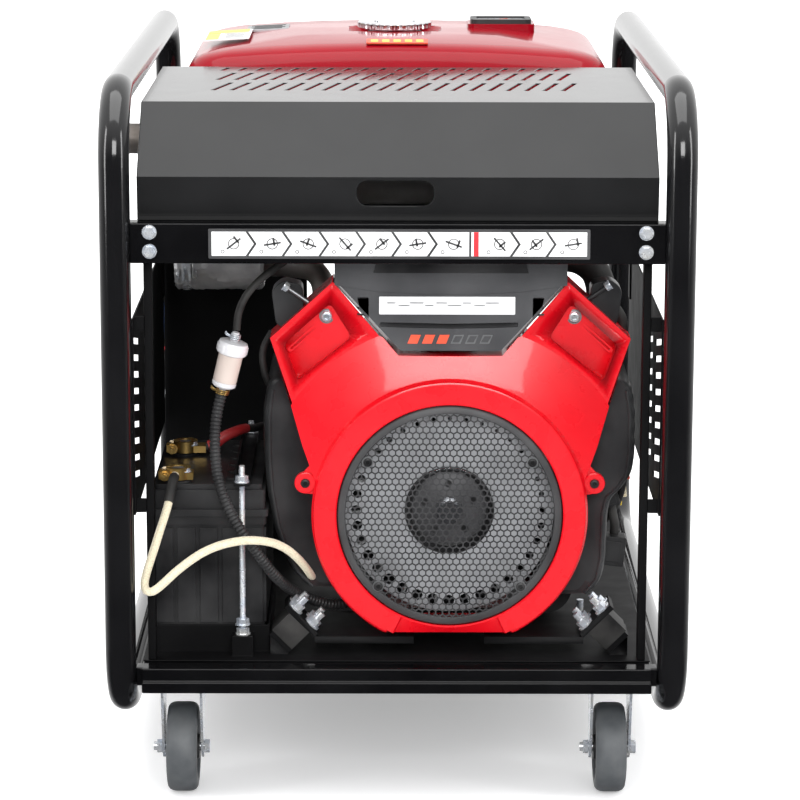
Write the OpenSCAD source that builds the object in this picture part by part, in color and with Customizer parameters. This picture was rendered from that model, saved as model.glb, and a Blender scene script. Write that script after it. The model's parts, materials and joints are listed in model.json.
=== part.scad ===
// Open-frame portable generator: two tube loops carry a base, a V-twin engine with an alternator
// behind it, a battery, a fuel tank and a covered muffler, on four casters.
// X runs across the fan end, Y runs from the fan end (-Y) to the alternator end, Z is up.
// The origin is on the ground, under the middle of the box.

/* [Frame] */
// Overall width across the two side loops
frame_w = 650; // [646:1:660]
// Length of a side loop between tube centre lines
loop_l = 915; // [910:1:930]
// Outer diameter of the loop tube
tube_d = 34; // [32:0.5:34]
// Bend radius of a side loop at the tube centre line
bend_r = 75; // [70:1:80]
// Height of the lower tube centre line above the ground
loop_low = 111; // [110:0.5:112]
// Height of the upper tube centre line above the ground
loop_high = 801; // [799:1:803]

/* [Engine] */
// Sideways offset of the crankshaft from the middle of the frame
crank_x = 59; // [57:1:60]
// Height of the crankshaft above the ground
crank_z = 326; // [325:1:328]
// Radius of the round cooling-air intake
intake_r = 126; // [124:1:127]
// Outer radius of the alternator housing
alternator_r = 138; // [130:1:140]

/* [Casters] */
// Diameter of a wheel
wheel_d = 102; // [100:1:103]
// Width of a wheel
wheel_w = 35; // [32:1:36]
// Distance of a front wheel from the middle of the frame
front_wheel_x = 243; // [240:1:245]
// Distance of a rear swivel axis from the middle of the frame
rear_swivel_x = 200; // [195:1:203]
// How far a rear axle trails its swivel axis
trail = 32; // [28:1:34]

/* [Tank] */
// Width of the fuel tank over its seam
tank_w = 540; // [530:1:544]
// Length of the fuel tank over its seam
tank_l = 400; // [390:1:404]
// Height of the top of the fuel tank above the ground
tank_top = 810; // [808:1:811]

/* [Hidden] */
$fn = 64;
tube_r = tube_d / 2;
tube_x = frame_w / 2 - tube_r;
inner_x = tube_x - tube_r;
loop_y = loop_l / 2;

// Base: rails, deck and the feet that stand on it
rail_low = 133;
deck_z = 161;
deck_t = 2;
floor_z = deck_z + deck_t;
rail_y = 432;
cast_h = 3;

// Upper frame
bar_low = 620;
bar_high = 664;
post_x = 275;
post_w = 9;
side_rail_x = 273;
guard_x = 290;
guard_low = 334;
guard_high = 556;
guard_rear = 46;
bolt_x = 270;
guard_t = 2;

// Muffler cover profile in Y and Z
cover_w = 569;
cover_t = 2;
cover_front = -446;
cover_fold_z = 713;
cover_crest_y = -362;
cover_top = 785;
cover_rear = -3;
cover_low = 664;

// Engine stations along Y
grille_y = -417;
shroud_y = -405;
shroud_back = -336;
case_front = -330;
case_back = -110;
alt_front = -88;
alt_back = 300;
shaft_r = 19;
bearing_r = 26;

// Tank stations
tank_y = 230;
seam_z = 735;
tank_low = 682;
sheet = 1.6;
cap_x = -3;
cap_y = 225;
neck_r = 29;

// Battery
batt_x = -277;
batt_w = 129;
batt_y = -392;
batt_l = 235;
batt_z = 184;
batt_h = 172;
rod_place = batt_x + batt_w - 26;

// Control panel, drawn on the +X side and mirrored to the -X side
panel_x = 290;
panel_d = 170;
panel_y = 50;
panel_l = 350;
panel_z = 170;
panel_h = 430;
socket_y = [110, 190];
socket_z = 455;
flap_z = 492;
breaker_y = 262;
key_y = 350;
choke_y = 310;
upper_row_z = 545;

// Ground terminal on the deck
ground = [215, -270];

// Slanted front engine mounts, about the crankshaft
mount_x = 179;
mount_y = -386;
mount_z = 190;

// Casters
wheel_r = wheel_d / 2;
front_wheel_y = -397;
rear_swivel_y = 385;
caster_top = 130;
axle_r = 5;

// Leads and hoses: centre-line points, from the upper end to the lower end
negative_route = [
    [-250, -388, 366], [-251, -397, 364], [-252, -407, 359], [-254, -417, 350], [-256, -426, 340],
    [-260, -434, 327], [-265, -440, 312], [-270, -444, 296], [-275, -447, 281], [-279, -449, 268],
    [-281, -452, 258], [-279, -457, 251], [-273, -460, 250], [-265, -461, 255], [-256, -460, 263],
    [-245, -458, 273], [-232, -456, 283], [-218, -453, 292], [-202, -450, 299], [-185, -446, 303],
    [-168, -440, 304], [-152, -434, 302], [-138, -425, 297], [-125, -414, 288], [-114, -403, 276],
    [-105, -393, 263], [-99, -381, 251], [-96, -366, 242], [-94, -347, 239], [-91, -328, 243],
    [-85, -312, 252], [-75, -302, 260], [-62, -300, 262]];
positive_route = [
    [-223, -237, 364], [-214, -237, 368], [-203, -235, 376], [-190, -228, 381], [-178, -214, 382],
    [-168, -198, 379], [-158, -181, 378], [-149, -164, 371], [-142, -149, 357], [-138, -138, 336],
    [-135, -129, 308], [-130, -121, 281], [-122, -114, 258], [-112, -108, 236], [-99, -103, 216],
    [-82, -99, 200], [-62, -97, 189], [-40, -96, 184], [-16, -96, 183], [8, -96, 183],
    [32, -96, 183], [56, -96, 183], [80, -96, 184], [104, -97, 187], [127, -100, 193],
    [148, -106, 202], [166, -116, 214], [180, -129, 228], [189, -145, 241], [192, -164, 250],
    [193, -184, 256], [193, -202, 258], [193, -220, 258]];
hose_route = [
    [-179, -395, 534], [-177, -394, 552], [-170, -390, 569], [-158, -384, 584], [-143, -376, 596],
    [-127, -365, 606], [-114, -351, 613], [-105, -334, 617], [-100, -314, 619], [-98, -292, 620],
    [-97, -268, 620], [-97, -244, 619], [-97, -220, 618], [-98, -196, 617], [-98, -172, 616],
    [-99, -148, 616], [-99, -124, 616], [-100, -100, 616], [-100, -76, 616], [-100, -52, 617],
    [-100, -28, 618], [-100, -4, 619], [-100, 20, 620], [-100, 44, 621], [-100, 66, 624],
    [-100, 86, 631], [-100, 101, 643], [-100, 108, 658], [-100, 110, 682]];
loom_route = [
    [-196, -399, 463], [-200, -400, 447], [-203, -402, 428], [-204, -404, 407], [-203, -406, 386],
    [-200, -409, 366], [-194, -413, 347], [-186, -416, 329], [-176, -418, 312], [-165, -416, 295],
    [-154, -411, 278], [-145, -404, 263], [-135, -393, 248], [-124, -376, 233], [-110, -359, 220],
    [-92, -347, 209], [-72, -337, 202], [-52, -328, 203], [-34, -322, 211], [-18, -320, 222]];
left_plug_route = [
    [-87, -284, 472], [-87, -296, 473], [-84, -308, 478], [-76, -317, 486], [-64, -322, 494],
    [-49, -324, 499], [-33, -323, 500], [-17, -320, 498], [-2, -316, 494]];
right_plug_route = [
    [205, -260, 472], [205, -274, 473], [202, -290, 478], [194, -304, 486], [182, -314, 494],
    [167, -319, 499], [151, -320, 500], [135, -319, 498], [120, -316, 494]];

// ---------- shared shapes ----------
module block(a, b) translate(a) cube(b - a);
module rod_x(x0, x1, y, z, r) translate([x0, y, z]) rotate([0, 90, 0]) cylinder(r = r, h = x1 - x0);
module rod_y(x, y0, y1, z, r) translate([x, y0, z]) rotate([-90, 0, 0]) cylinder(r = r, h = y1 - y0);
module rod_z(x, y, z0, z1, r) translate([x, y, z0]) cylinder(r = r, h = z1 - z0);

// Mirrors its children to the -X side as well
module both_sides() {
    children();
    mirror([1, 0, 0]) children();
}

// Puts its children's XY drawing upright, as X and Z about the crankshaft, from y0 back to y1
module engine_slab(y0, y1) {
    translate([crank_x, y1, crank_z]) rotate([90, 0, 0]) linear_extrude(y1 - y0) children();
}

// Stands a YZ drawing up and draws it out along X, centred
module along_x(w) {
    translate([-w / 2, 0, 0]) rotate([90, 0, 90]) linear_extrude(w) children();
}

// Rounded rectangle with its middle at the origin
module rounded_rect(w, h, r) {
    square([w - 2 * r, h], center = true);
    square([w, h - 2 * r], center = true);
    for (x = [-1, 1], y = [-1, 1]) translate([x * (w / 2 - r), y * (h / 2 - r)]) circle(r);
}

function unit(v) = v / norm(v);
function tangent(p, i) = unit(p[min(i + 1, len(p) - 1)] - p[max(i - 1, 0)]);

// Round tube through the points of p; up is any direction that the tube never runs along
module swept_tube(p, r, up, sides = 8) {
    rings = [for (i = [0:len(p) - 1])
        let (t = tangent(p, i), u = unit(cross(up, t)), v = cross(t, u))
        for (k = [0:sides - 1]) p[i] + r * (cos(360 * k / sides) * u + sin(360 * k / sides) * v)];
    last = (len(p) - 1) * sides;
    walls = [for (i = [0:len(p) - 2], k = [0:sides - 1])
        let (a = i * sides + k, b = i * sides + (k + 1) % sides)
        each [[a, b + sides, b], [a, a + sides, b + sides]]];
    ends = [for (k = [1:sides - 2])
        each [[0, k, k + 1], [last, last + k + 1, last + k]]];
    polyhedron(rings, concat(walls, ends));
}

// ---------- frame ----------
// One closed loop of bent tube about the plane x = 0
module tube_loop() {
    run_y = loop_y - bend_r;
    for (s = [-1, 1]) {
        rod_z(0, s * loop_y, loop_low + bend_r, loop_high - bend_r, tube_r);
    }
    for (z = [loop_low, loop_high]) rod_y(0, -run_y, run_y, z, tube_r);
    for (k = [0:3])
        translate([0, (k == 0 || k == 3 ? 1 : -1) * run_y,
                   k < 2 ? loop_high - bend_r : loop_low + bend_r])
            rotate([90, 0, 90]) rotate([0, 0, k * 90])
                rotate_extrude(angle = 90) translate([bend_r, 0]) circle(tube_r);
}

module side_loop_left() color("#101012") translate([-tube_x, 0, 0]) tube_loop();
module side_loop_right() color("#101012") translate([tube_x, 0, 0]) tube_loop();

// Folded front and rear rails with a stepped face, and the two side rails between them
module base_rails() color("#121214") {
    for (m = [0, 1]) mirror([0, m, 0]) {
        block([-285, -rail_y - 28, 146], [285, -rail_y, deck_z]);
        block([-285, -rail_y - 31, rail_low], [285, -rail_y, 146]);
        both_sides() block([285, -rail_y - 24, 140], [inner_x, -rail_y - 4, deck_z]);
    }
    both_sides() block([255, -rail_y, rail_low], [285, rail_y, deck_z]);
    for (y = [-370, 355, 415]) block([-255, y - 10, rail_low], [255, y + 10, deck_z]);
}

// Deck sheet with a pan that holds the battery
module deck_tray() color("#17171a") {
    block([-285, -rail_y, deck_z], [285, rail_y, floor_z]);
    difference() {
        block([batt_x - 4, batt_y - 4, floor_z], [batt_x + batt_w + 4, batt_y + batt_l + 4, 194]);
        block([batt_x - 1, batt_y - 1, batt_z], [batt_x + batt_w + 1, batt_y + batt_l + 1, 200]);
    }
    block([rod_place - 12, batt_y - 24, floor_z], [rod_place + 12, batt_y - 4, 186]);
}

// Upper bars across the two ends, set into the inner sides of the loops
module cross_bars() color("#0e0e10")
    for (m = [0, 1]) mirror([0, m, 0]) difference() {
        block([-296, -462, bar_low], [296, -rail_y, bar_high]);
        for (s = [-1, 1]) rod_z(s * tube_x, -loop_y, bar_low - 1, bar_high + 1, tube_r + 0.1);
    }

module uprights() color("#141416")
    both_sides() for (m = [0, 1]) mirror([0, m, 0])
        block([post_x - post_w / 2, -rail_y, floor_z], [post_x + post_w / 2, -412, 634]);

// Side rails between the two cross bars, and the beams that carry the muffler and the tank
module upper_rails() color("#141416") {
    both_sides() block([side_rail_x - 10, -rail_y, 634], [side_rail_x + 10, rail_y, bar_high]);
    for (y = [-270, -190, 70, 390]) block([-262, y - 10, 648], [262, y + 10, bar_high - 4]);
    for (y = [70, 390], x = [-200, 200]) rod_z(x, y, bar_high - 4, tank_low, 14);
}

// One slot of a side guard in Y and Z, slanting down towards the rear
module guard_slot(y, z) {
    polygon([[y - 42, z + 5], [y + 42, z - 12], [y + 42, z - 5], [y - 42, z + 12]]);
}

// Perforated sheet beside the front leg of a loop, with columns of slots centred on each of ys
module side_guard(ys) {
    difference() {
        translate([guard_x, 0, 0]) rotate([90, 0, 90]) linear_extrude(guard_t)
            polygon([[-446, guard_low], [guard_rear, guard_low], [guard_rear, guard_high], [-446, guard_high]]);
        for (y = ys, row = [0:8])
            translate([guard_x - 1, 0, 0]) rotate([90, 0, 90]) linear_extrude(guard_t + 2)
                guard_slot(y, 371 + row * 18.9);
    }
    for (z = [guard_low, guard_high - 16])
        block([post_x + post_w / 2, -rail_y, z], [guard_x, -rail_y + 2, z + 16]);
    // Rear strap up to the side rail
    block([guard_x - 2, guard_rear - 30, guard_high - 60], [guard_x, guard_rear - 10, 642]);
    block([side_rail_x + 10, guard_rear - 30, 640], [guard_x, guard_rear - 10, 642]);
}

module side_guards() color("#1b1b1e") {
    side_guard([-400, -283]);
    mirror([1, 0, 0]) side_guard([-400]);
}

// Flange bolt whose head faces -Y, seated at y
module flange_bolt(x, y, z) {
    rod_y(x, y - 1.6, y, z, 8);
    translate([x, y - 1.5, z]) rotate([90, 0, 0]) cylinder(r = 6.4, h = 4.3, $fn = 6);
}

// Stud end with a washer and a nut, standing on z = 0
module stud_and_nut() {
    cylinder(r = 3.8, h = 18);
    cylinder(r = 9.5, h = 2);
    translate([0, 0, 1.9]) cylinder(r = 7.4, h = 7, $fn = 6);
}

module bolts() color("#c9ccd0") {
    both_sides() for (z = [633.5, 654.5]) {
        flange_bolt(bolt_x, -462, z);
        mirror([0, 1, 0]) flange_bolt(bolt_x, -462, z);
    }
    for (side = [-1, 1], x = [-13, 13], y = [-10, 10])
        at_mount(side) translate([x, y, 20]) stud_and_nut();
    // Ground terminal
    rod_z(ground[0], ground[1], floor_z, 190, 4);
    rod_z(ground[0], ground[1], floor_z, 168, 8);
}

// ---------- exhaust ----------
cover_outer = [
    [cover_front + 5, cover_low], [cover_front, cover_fold_z], [cover_crest_y, cover_top],
    [cover_rear, cover_top], [cover_rear, cover_low]];
cover_inner = [
    [cover_front + 5 + cover_t, cover_low - 5], [cover_front + cover_t, cover_fold_z - 1],
    [cover_crest_y + 1, cover_top - cover_t], [cover_rear + 5, cover_top - cover_t],
    [cover_rear + 5, cover_low - 5]];

module muffler_cover() color("#232327")
    difference() {
        along_x(cover_w) polygon(cover_outer);
        along_x(cover_w - 2 * cover_t) polygon(cover_inner);
        // Hand slot in the front face
        translate([-3, -430, 695]) rotate([90, 0, 0]) linear_extrude(30) rounded_rect(84, 28, 12);
        // Three rows of slanted cooling slots
        for (row = [[-252, 78], [-145, 74], [-46, 30]], i = [0:19])
            translate([-211 + 21 * i, row[0], cover_top - 5]) rotate([0, 0, -13])
                translate([-2.5, 0, 0]) cube([5, row[1], 10]);
        // Clearance for the outlet pipe
        rod_x(-290, -270, -210, 724, 20);
    }

module muffler() color("#8b8d90") {
    translate([-15, -215, 706]) rotate([90, 0, 90]) translate([0, 0, -215])
        linear_extrude(430) rounded_rect(236, 92, 44);
    difference() {
        union() {
            rod_x(-318, -286, -210, 724, 17.5);
            rod_x(-286, -229, -210, 724, 17);
        }
        rod_x(-319, -230, -210, 724, 15.5);
    }
}

// Heat wrap round the left exhaust pipe, its clamp, and the bare pipe at each end
module exhaust_wrap() color("#b9bbbd") {
    rod_x(-262, -157, -150, 566, 30);
    rod_z(-215, -150, 590, 660, 17);
    rod_x(-160, -87, -150, 566, 16);
    rod_z(-87, -150, 472, 566, 16);
    rod_y(-87, -180, -150, 472, 14);
    block([-256, -188, 556], [-240, -176, 572]);
}

// ---------- fuel tank ----------
// Crowned box: the plan, the end view and the side view cut each other
module tank_form(inset, low) {
    half = tank_w / 2 - 3 - inset;
    top = tank_top - inset;
    end = tank_l / 2 - 3 - inset;
    intersection() {
        translate([0, tank_y, low]) linear_extrude(200) rounded_rect(2 * half, 2 * end, 46);
        translate([0, tank_y + 300, 0]) rotate([90, 0, 0]) linear_extrude(600) polygon([
            [-half, low - 1], [-half, seam_z + 22], [-half + 8, top - 24], [-half + 20, top - 9],
            [-half + 40, top - 3], [-half + 110, top - 1], [0, top], [half - 110, top - 1],
            [half - 40, top - 3], [half - 20, top - 9], [half - 8, top - 24], [half, seam_z + 22],
            [half, low - 1]]);
        along_x(600) translate([tank_y, 0]) polygon([
            [-end, low - 1], [-end, seam_z + 24], [-end + 5, top - 18], [-end + 14, top - 7],
            [-end + 30, top - 3], [-end + 120, top], [end - 120, top], [end - 30, top - 5],
            [end - 12, top - 12], [end, seam_z + 24], [end, low - 1]]);
    }
}

module tank_upper_shell() color("#b3121f") {
    difference() {
        union() {
            tank_form(0, seam_z);
            translate([0, tank_y, seam_z]) linear_extrude(2) rounded_rect(tank_w, tank_l, 48);
            translate([134, 270, tank_top - 12]) linear_extrude(16) rounded_rect(86, 62, 10);
        }
        tank_form(sheet, seam_z - 2);
        rod_z(cap_x, cap_y, tank_top - 20, tank_top + 5, neck_r + 0.1);
    }
}

module tank_lower_shell() color("#a5101c")
    difference() {
        union() {
            translate([0, tank_y, tank_low]) linear_extrude(seam_z - tank_low)
                rounded_rect(tank_w - 16, tank_l - 16, 44);
            translate([0, tank_y, seam_z - 2]) linear_extrude(2) rounded_rect(tank_w, tank_l, 48);
        }
        translate([0, tank_y, tank_low + sheet]) linear_extrude(80)
            rounded_rect(tank_w - 16 - 2 * sheet, tank_l - 16 - 2 * sheet, 42);
    }

module filler_neck() color("#8f9296")
    difference() {
        union() {
            rod_z(cap_x, cap_y, tank_top - 14, tank_top + 4, neck_r);
            rod_z(cap_x, cap_y, tank_top - 6, tank_top - 3, 34);
        }
        rod_z(cap_x, cap_y, tank_top - 15, tank_top + 5, neck_r - 3);
    }

// Spring-loaded sealing disc that sits on the neck inside the cap
module fuel_cap_seal() color("#2a2a2c") {
    rod_z(cap_x, cap_y, tank_top + 4.2, tank_top + 6.2, neck_r);
    rod_z(cap_x, cap_y, tank_top + 1.5, tank_top + 4.2, neck_r - 5);
}

module fuel_cap() color("#d5d7da")
    difference() {
        union() {
            rod_z(cap_x, cap_y, tank_top + 1.6, tank_top + 9, 47);
            rod_z(cap_x, cap_y, tank_top + 9, tank_top + 11, 45);
            for (a = [0:20:340]) translate([cap_x, cap_y, 0]) rotate([0, 0, a])
                rod_z(46, 0, tank_top + 1.6, tank_top + 9, 2);
        }
        rod_z(cap_x, cap_y, tank_top, tank_top + 6.6, 40);
    }

module fuel_gauge() color("#1a1a1c") {
    translate([134, 270, tank_top + 4]) linear_extrude(6) rounded_rect(78, 54, 9);
}

// ---------- engine ----------
case_shape = [
    [-60, -130], [60, -130], [104, -60], [118, -20], [118, 23], [20, 121], [-20, 121],
    [-118, 23], [-118, -20], [-104, -60]];

// The slanted axis of the dipstick, from inside the case
module at_dipstick() translate([crank_x + 66, -133, crank_z - 60]) rotate([0, 22, 0]) children();

module crankcase() color("#b9bbbc") {
    difference() {
        engine_slab(case_front, case_back) polygon(case_shape);
        rod_y(crank_x, case_front + 16, case_back - 16, crank_z, 84);
        rod_y(crank_x, case_front - 1, case_back + 1, crank_z, bearing_r);
        at_dipstick() cylinder(r = 6, h = 126);
    }
    at_dipstick() difference() {
        translate([0, 0, 104]) cylinder(r = 9, h = 22);
        cylinder(r = 6, h = 127);
    }
    // Boss for the negative lead
    rod_x(-62, -30, -300, 262, 7);
    // Bell that carries the alternator
    difference() {
        rod_y(crank_x, case_back, alt_front, crank_z, 112);
        rod_y(crank_x, case_back - 1, alt_front + 1, crank_z, 60);
    }
}

// A barrel, head or cover stands on the crankcase on an axis 45 degrees to each side
module bank(side) {
    translate([crank_x, side < 0 ? -232 : -208, crank_z]) rotate([0, side * 45, 0]) children();
}

module cylinders() color("#8e9092")
    for (side = [-1, 1]) bank(side) difference() {
        union() {
            translate([0, 0, 100]) cylinder(r = 50, h = 90);
            for (i = [0:7]) translate([0, 0, 106 + i * 11]) cylinder(r = 62, h = 3.5);
        }
        translate([0, 0, 99]) cylinder(r = 40, h = 92);
    }

module cylinder_heads() color("#26262a")
    for (side = [-1, 1]) bank(side) {
        translate([0, 0, 190]) linear_extrude(34) rounded_rect(96, 104, 14);
        translate([0, 0, 224]) linear_extrude(24) rounded_rect(78, 96, 18);
        translate([0, 0, 248]) linear_extrude(16) rounded_rect(64, 82, 20);
        for (x = [-26, 26]) translate([x, 0, 264]) cylinder(r = 5, h = 5, $fn = 6);
    }

// Outer line of a cylinder air shroud, from its top to its bottom
shroud_side = [
    [207, 132], [210, 110], [210, 60], [206, 20], [197, -20], [184, -50], [168, -72]];

module cylinder_shrouds() color("#202124")
    for (side = [-1, 1]) engine_slab(-384, -180)
        polygon([for (p = concat(shroud_side,
                 [for (i = [len(shroud_side) - 1:-1:0]) 0.98 * shroud_side[i]])) [side * p[0], p[1]]]);

function arc(r, a0, a1, n) = [for (i = [0:n]) r * [cos(a0 + (a1 - a0) * i / n), sin(a0 + (a1 - a0) * i / n)]];

// Fan shroud outline: round below, two wings above with a notch between them
shroud_outline = concat(
    arc(155, -61, 14, 10), [[165, 77], [201, 198], [131, 262], [58, 180], [-58, 180], [-131, 262],
    [-201, 198], [-165, 77]], arc(155, 166, 241, 10));

module fan_shroud() color("#e01428") {
    difference() {
        engine_slab(shroud_y, shroud_back) polygon(shroud_outline);
        engine_slab(shroud_y + 3, shroud_back + 1) scale(0.975) polygon(shroud_outline);
        rod_y(crank_x, shroud_y - 1, shroud_y + 4, crank_z, intake_r + 0.5);
    }
    // Raised ring round the intake
    difference() {
        rod_y(crank_x, shroud_y - 12, shroud_y, crank_z, 152);
        rod_y(crank_x, shroud_y - 13, shroud_y + 1, crank_z, intake_r + 0.5);
        block([crank_x - 160, shroud_y - 14, crank_z - 170], [crank_x + 160, shroud_y + 1, crank_z - 136]);
    }
    // Ears that take the side screws
    for (side = [-1, 1]) difference() {
        rod_y(crank_x + side * 164, shroud_y, shroud_y + 4, crank_z + 36, 11);
        rod_y(crank_x + side * 164, shroud_y - 1, shroud_y + 5, crank_z + 36, 3);
    }
}

// Flat intake grille on a rim
module fan_grille() color("#6e7174") {
    difference() {
        rod_y(crank_x, grille_y + 2, grille_y + 4, crank_z, intake_r);
        translate([crank_x, grille_y + 5, crank_z]) rotate([90, 0, 0]) linear_extrude(4)
            for (row = [-7:7], col = [-8:8])
                let (x = col * 15.2 + (row % 2 == 0 ? 0 : 7.6), z = row * 13.2)
                    if (norm([x, z]) < 112) translate([x, z]) circle(5.6, $fn = 24);
    }
    difference() {
        rod_y(crank_x, grille_y, grille_y + 14, crank_z, intake_r);
        rod_y(crank_x, grille_y - 1, grille_y + 15, crank_z, intake_r - 6);
    }
}

// Dark panel that fills the notch above the fan shroud
module intake_panel() color("#3a3b3f")
    difference() {
        engine_slab(-400, -344) polygon([[-57, 185], [57, 185], [130, 266], [130, 296], [-130, 296],
                                         [-130, 266]]);
        engine_slab(-397, -343) polygon([[-55, 188], [55, 188], [127, 268], [127, 293], [-127, 293],
                                         [-127, 268]]);
        block([crank_x - 78, -401, crank_z + 212], [crank_x + 75, -396, crank_z + 217]);
        for (side = [-1, 1]) block([crank_x + side * 101 - 6, -401, crank_z + 232],
                                   [crank_x + side * 101 + 6, -396, crank_z + 254]);
    }

module air_cleaner() color("#303135") {
    translate([crank_x, -228, 590]) linear_extrude(30) rounded_rect(250, 226, 30);
    translate([crank_x, -228, 620]) linear_extrude(22) rounded_rect(238, 214, 26);
}

module carburettor() color("#a8aaad") {
    rod_z(crank_x, -225, crank_z + 140, 590, 24);
    block([crank_x - 30, -258, 520], [crank_x + 30, -192, 560]);
    rod_z(crank_x, -225, crank_z + 121, crank_z + 141, 25);
}

module flywheel_fan() color("#b6b9bb") {
    difference() {
        rod_y(crank_x, -362, -346, crank_z, 112);
        rod_y(crank_x, -363, -345, crank_z, shaft_r - 4);
    }
    for (a = [0:20:340]) translate([crank_x, 0, crank_z]) rotate([0, a, 0])
        block([80, -386, -2], [110, -362, 2]);
    difference() {
        rod_y(crank_x, -382, -362, crank_z, 46);
        rod_y(crank_x, -383, -361, crank_z, shaft_r - 4);
    }
}

module crankshaft() color("#9fa2a5") {
    rod_y(crank_x, -388, case_front + 2, crank_z, shaft_r - 4);
    rod_y(crank_x, case_front + 2, case_back - 2, crank_z, shaft_r - 0.05);
    rod_y(crank_x, case_back - 2, alt_back + 38, crank_z, shaft_r - 1);
    rod_y(crank_x, -398, -388, crank_z, 12);
    // Counterweights
    for (y = [-290, -170]) intersection() {
        rod_y(crank_x, y, y + 22, crank_z, 76);
        block([crank_x - 60, y, crank_z - 80], [crank_x + 60, y + 22, crank_z + 24]);
    }
}

module alternator_rotor() color("#70482a")
    difference() {
        rod_y(crank_x, -40, 240, crank_z, 92);
        rod_y(crank_x, -41, 241, crank_z, shaft_r - 1);
    }

module alternator_housing() color("#a9acaf") {
    difference() {
        union() {
            rod_y(crank_x, alt_front, alt_back, crank_z, alternator_r);
            rod_y(crank_x, alt_back, alt_back + 40, crank_z, alternator_r - 8);
            block([crank_x - 90, 190, 188], [crank_x + 90, 260, 240]);
        }
        rod_y(crank_x, alt_front + 8, alt_back + 34, crank_z, alternator_r - 14);
        rod_y(crank_x, alt_front - 1, alt_front + 9, crank_z, 60);
        rod_y(crank_x, alt_back + 33, alt_back + 41, crank_z, bearing_r);
        for (a = [0:30:330]) translate([crank_x, alt_back + 30, crank_z]) rotate([0, a + 15, 0])
            block([60, 0, -6], [105, 12, 6]);
    }
}

module alternator_stator() color("#5c5f63")
    difference() {
        rod_y(crank_x, -30, 230, crank_z, alternator_r - 14.2);
        rod_y(crank_x, -31, 231, crank_z, 95);
    }

module bearing_ring(y, depth, inner) {
    difference() {
        rod_y(crank_x, y, y + depth, crank_z, bearing_r - 0.02);
        rod_y(crank_x, y - 1, y + depth + 1, crank_z, inner);
    }
}

module crank_bearings() color("#c2c5c8") {
    bearing_ring(case_front + 2, 14, shaft_r);
    bearing_ring(case_back - 16, 14, shaft_r);
    bearing_ring(alt_back + 34, 6, shaft_r - 0.95);
}

module starter_motor() color("#2b2c2f") {
    rod_y(crank_x + 112, -326, -190, crank_z - 106, 31);
    rod_y(crank_x + 112, -190, -182, crank_z - 106, 26);
    rod_y(crank_x + 134, -300, -220, crank_z - 68, 15);
}

module oil_filter() color("#e8e8ea") {
    rod_x(crank_x - 180, crank_x - 122, -160, crank_z - 2, 33);
    rod_x(crank_x - 122, crank_x - 118, -160, crank_z - 2, 26);
}

// Oil dipstick: yellow grip, stopper and flat blade in its slanted hole
module dipstick() color("#e8c21a")
    at_dipstick() {
        translate([0, 0, 26]) cylinder(r = 2.5, h = 104);
        translate([0, 0, 126.3]) cylinder(r = 10, h = 14);
        translate([0, 0, 139]) rotate([90, 0, 0]) translate([0, 12, -3]) difference() {
            cylinder(r = 14, h = 6);
            translate([0, 0, -1]) cylinder(r = 8, h = 8);
        }
    }

// ---------- engine mounts ----------
// Local z points from the frame up towards the engine, at 45 degrees
module at_mount(side) translate([crank_x + side * mount_x, mount_y, mount_z])
    rotate([0, side * -45, 0]) children();

module mount_brackets() color("#151517") {
    for (side = [-1, 1]) {
        // Engine side: slanted plate, the arm below the fan shroud, and the pad under the crankcase
        at_mount(side) block([-24, -22, 14], [24, 22, 20]);
        block([crank_x + side * 96 - 56, -408, 176], [crank_x + side * 96 + 56, -300, 184]);
        block([crank_x + side * 50 - 9, -328, 184], [crank_x + side * 50 + 9, -300, 196]);
        // Frame side: slanted plate on two ribs
        at_mount(side) block([side * -1 - 15, -22, -20], [side * -1 + 15, 22, -14]);
        for (y = [mount_y - 22, mount_y + 18])
            translate([crank_x + side * mount_x, y + 4, mount_z]) rotate([90, 0, 0]) linear_extrude(4)
                polygon([[side * 3, -27], [side * 23, -27], [side * 23, -5.6], [side * 3, -25.6]]);
        // Rear feet
        block([crank_x + side * 80 - 30, 195, floor_z], [crank_x + side * 80 + 30, 255, floor_z + 4]);
    }
}

module rubber_mounts() color("#1c1c1d") {
    for (side = [-1, 1]) {
        at_mount(side) block([-16, -22, -14], [16, 22, 14]);
        rod_z(crank_x + side * 70, 225, floor_z + 4, 188, 22);
    }
}

// ---------- battery ----------
module battery() color("#1e1f22") {
    block([batt_x, batt_y, batt_z], [batt_x + batt_w, batt_y + batt_l, batt_z + batt_h - 36]);
    block([batt_x - 3, batt_y - 3, batt_z + batt_h - 36],
          [batt_x + batt_w + 3, batt_y + batt_l + 3, batt_z + batt_h - 28]);
    block([batt_x, batt_y, batt_z + batt_h - 28], [batt_x + batt_w, batt_y + batt_l, batt_z + batt_h]);
    for (x = [0:4]) block([batt_x + 10 + x * 24, batt_y - 2, batt_z + 14],
                          [batt_x + 28 + x * 24, batt_y, batt_z + batt_h - 46]);
    for (y = [0:5]) rod_z(batt_x + 92, batt_y + 28 + y * 34, batt_z + batt_h, batt_z + batt_h + 3, 9);
    for (y = [18, 155]) rod_z(batt_x + 30, batt_y + y, batt_z + batt_h, batt_z + batt_h + 16, 8);
}

// Brass post clamps, each a split ring with a bolt through its ears
module battery_clamps() color("#c9a24a")
    for (y = [18, 155]) translate([batt_x + 30, batt_y + y, batt_z + batt_h + 4]) {
        difference() {
            union() {
                cylinder(r = 14, h = 13);
                block([-22, -8, 0], [-8, 8, 9]);
                block([4, -10, 0], [y > 100 ? 24 : 17, 10, 8]);
            }
            translate([0, 0, -1]) cylinder(r = 8.1, h = 16);
            block([-30, -1.5, -1], [-7, 1.5, 14]);
        }
        translate([-18, -14, 5]) rotate([-90, 0, 0]) cylinder(r = 3, h = 6);
    }

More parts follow.
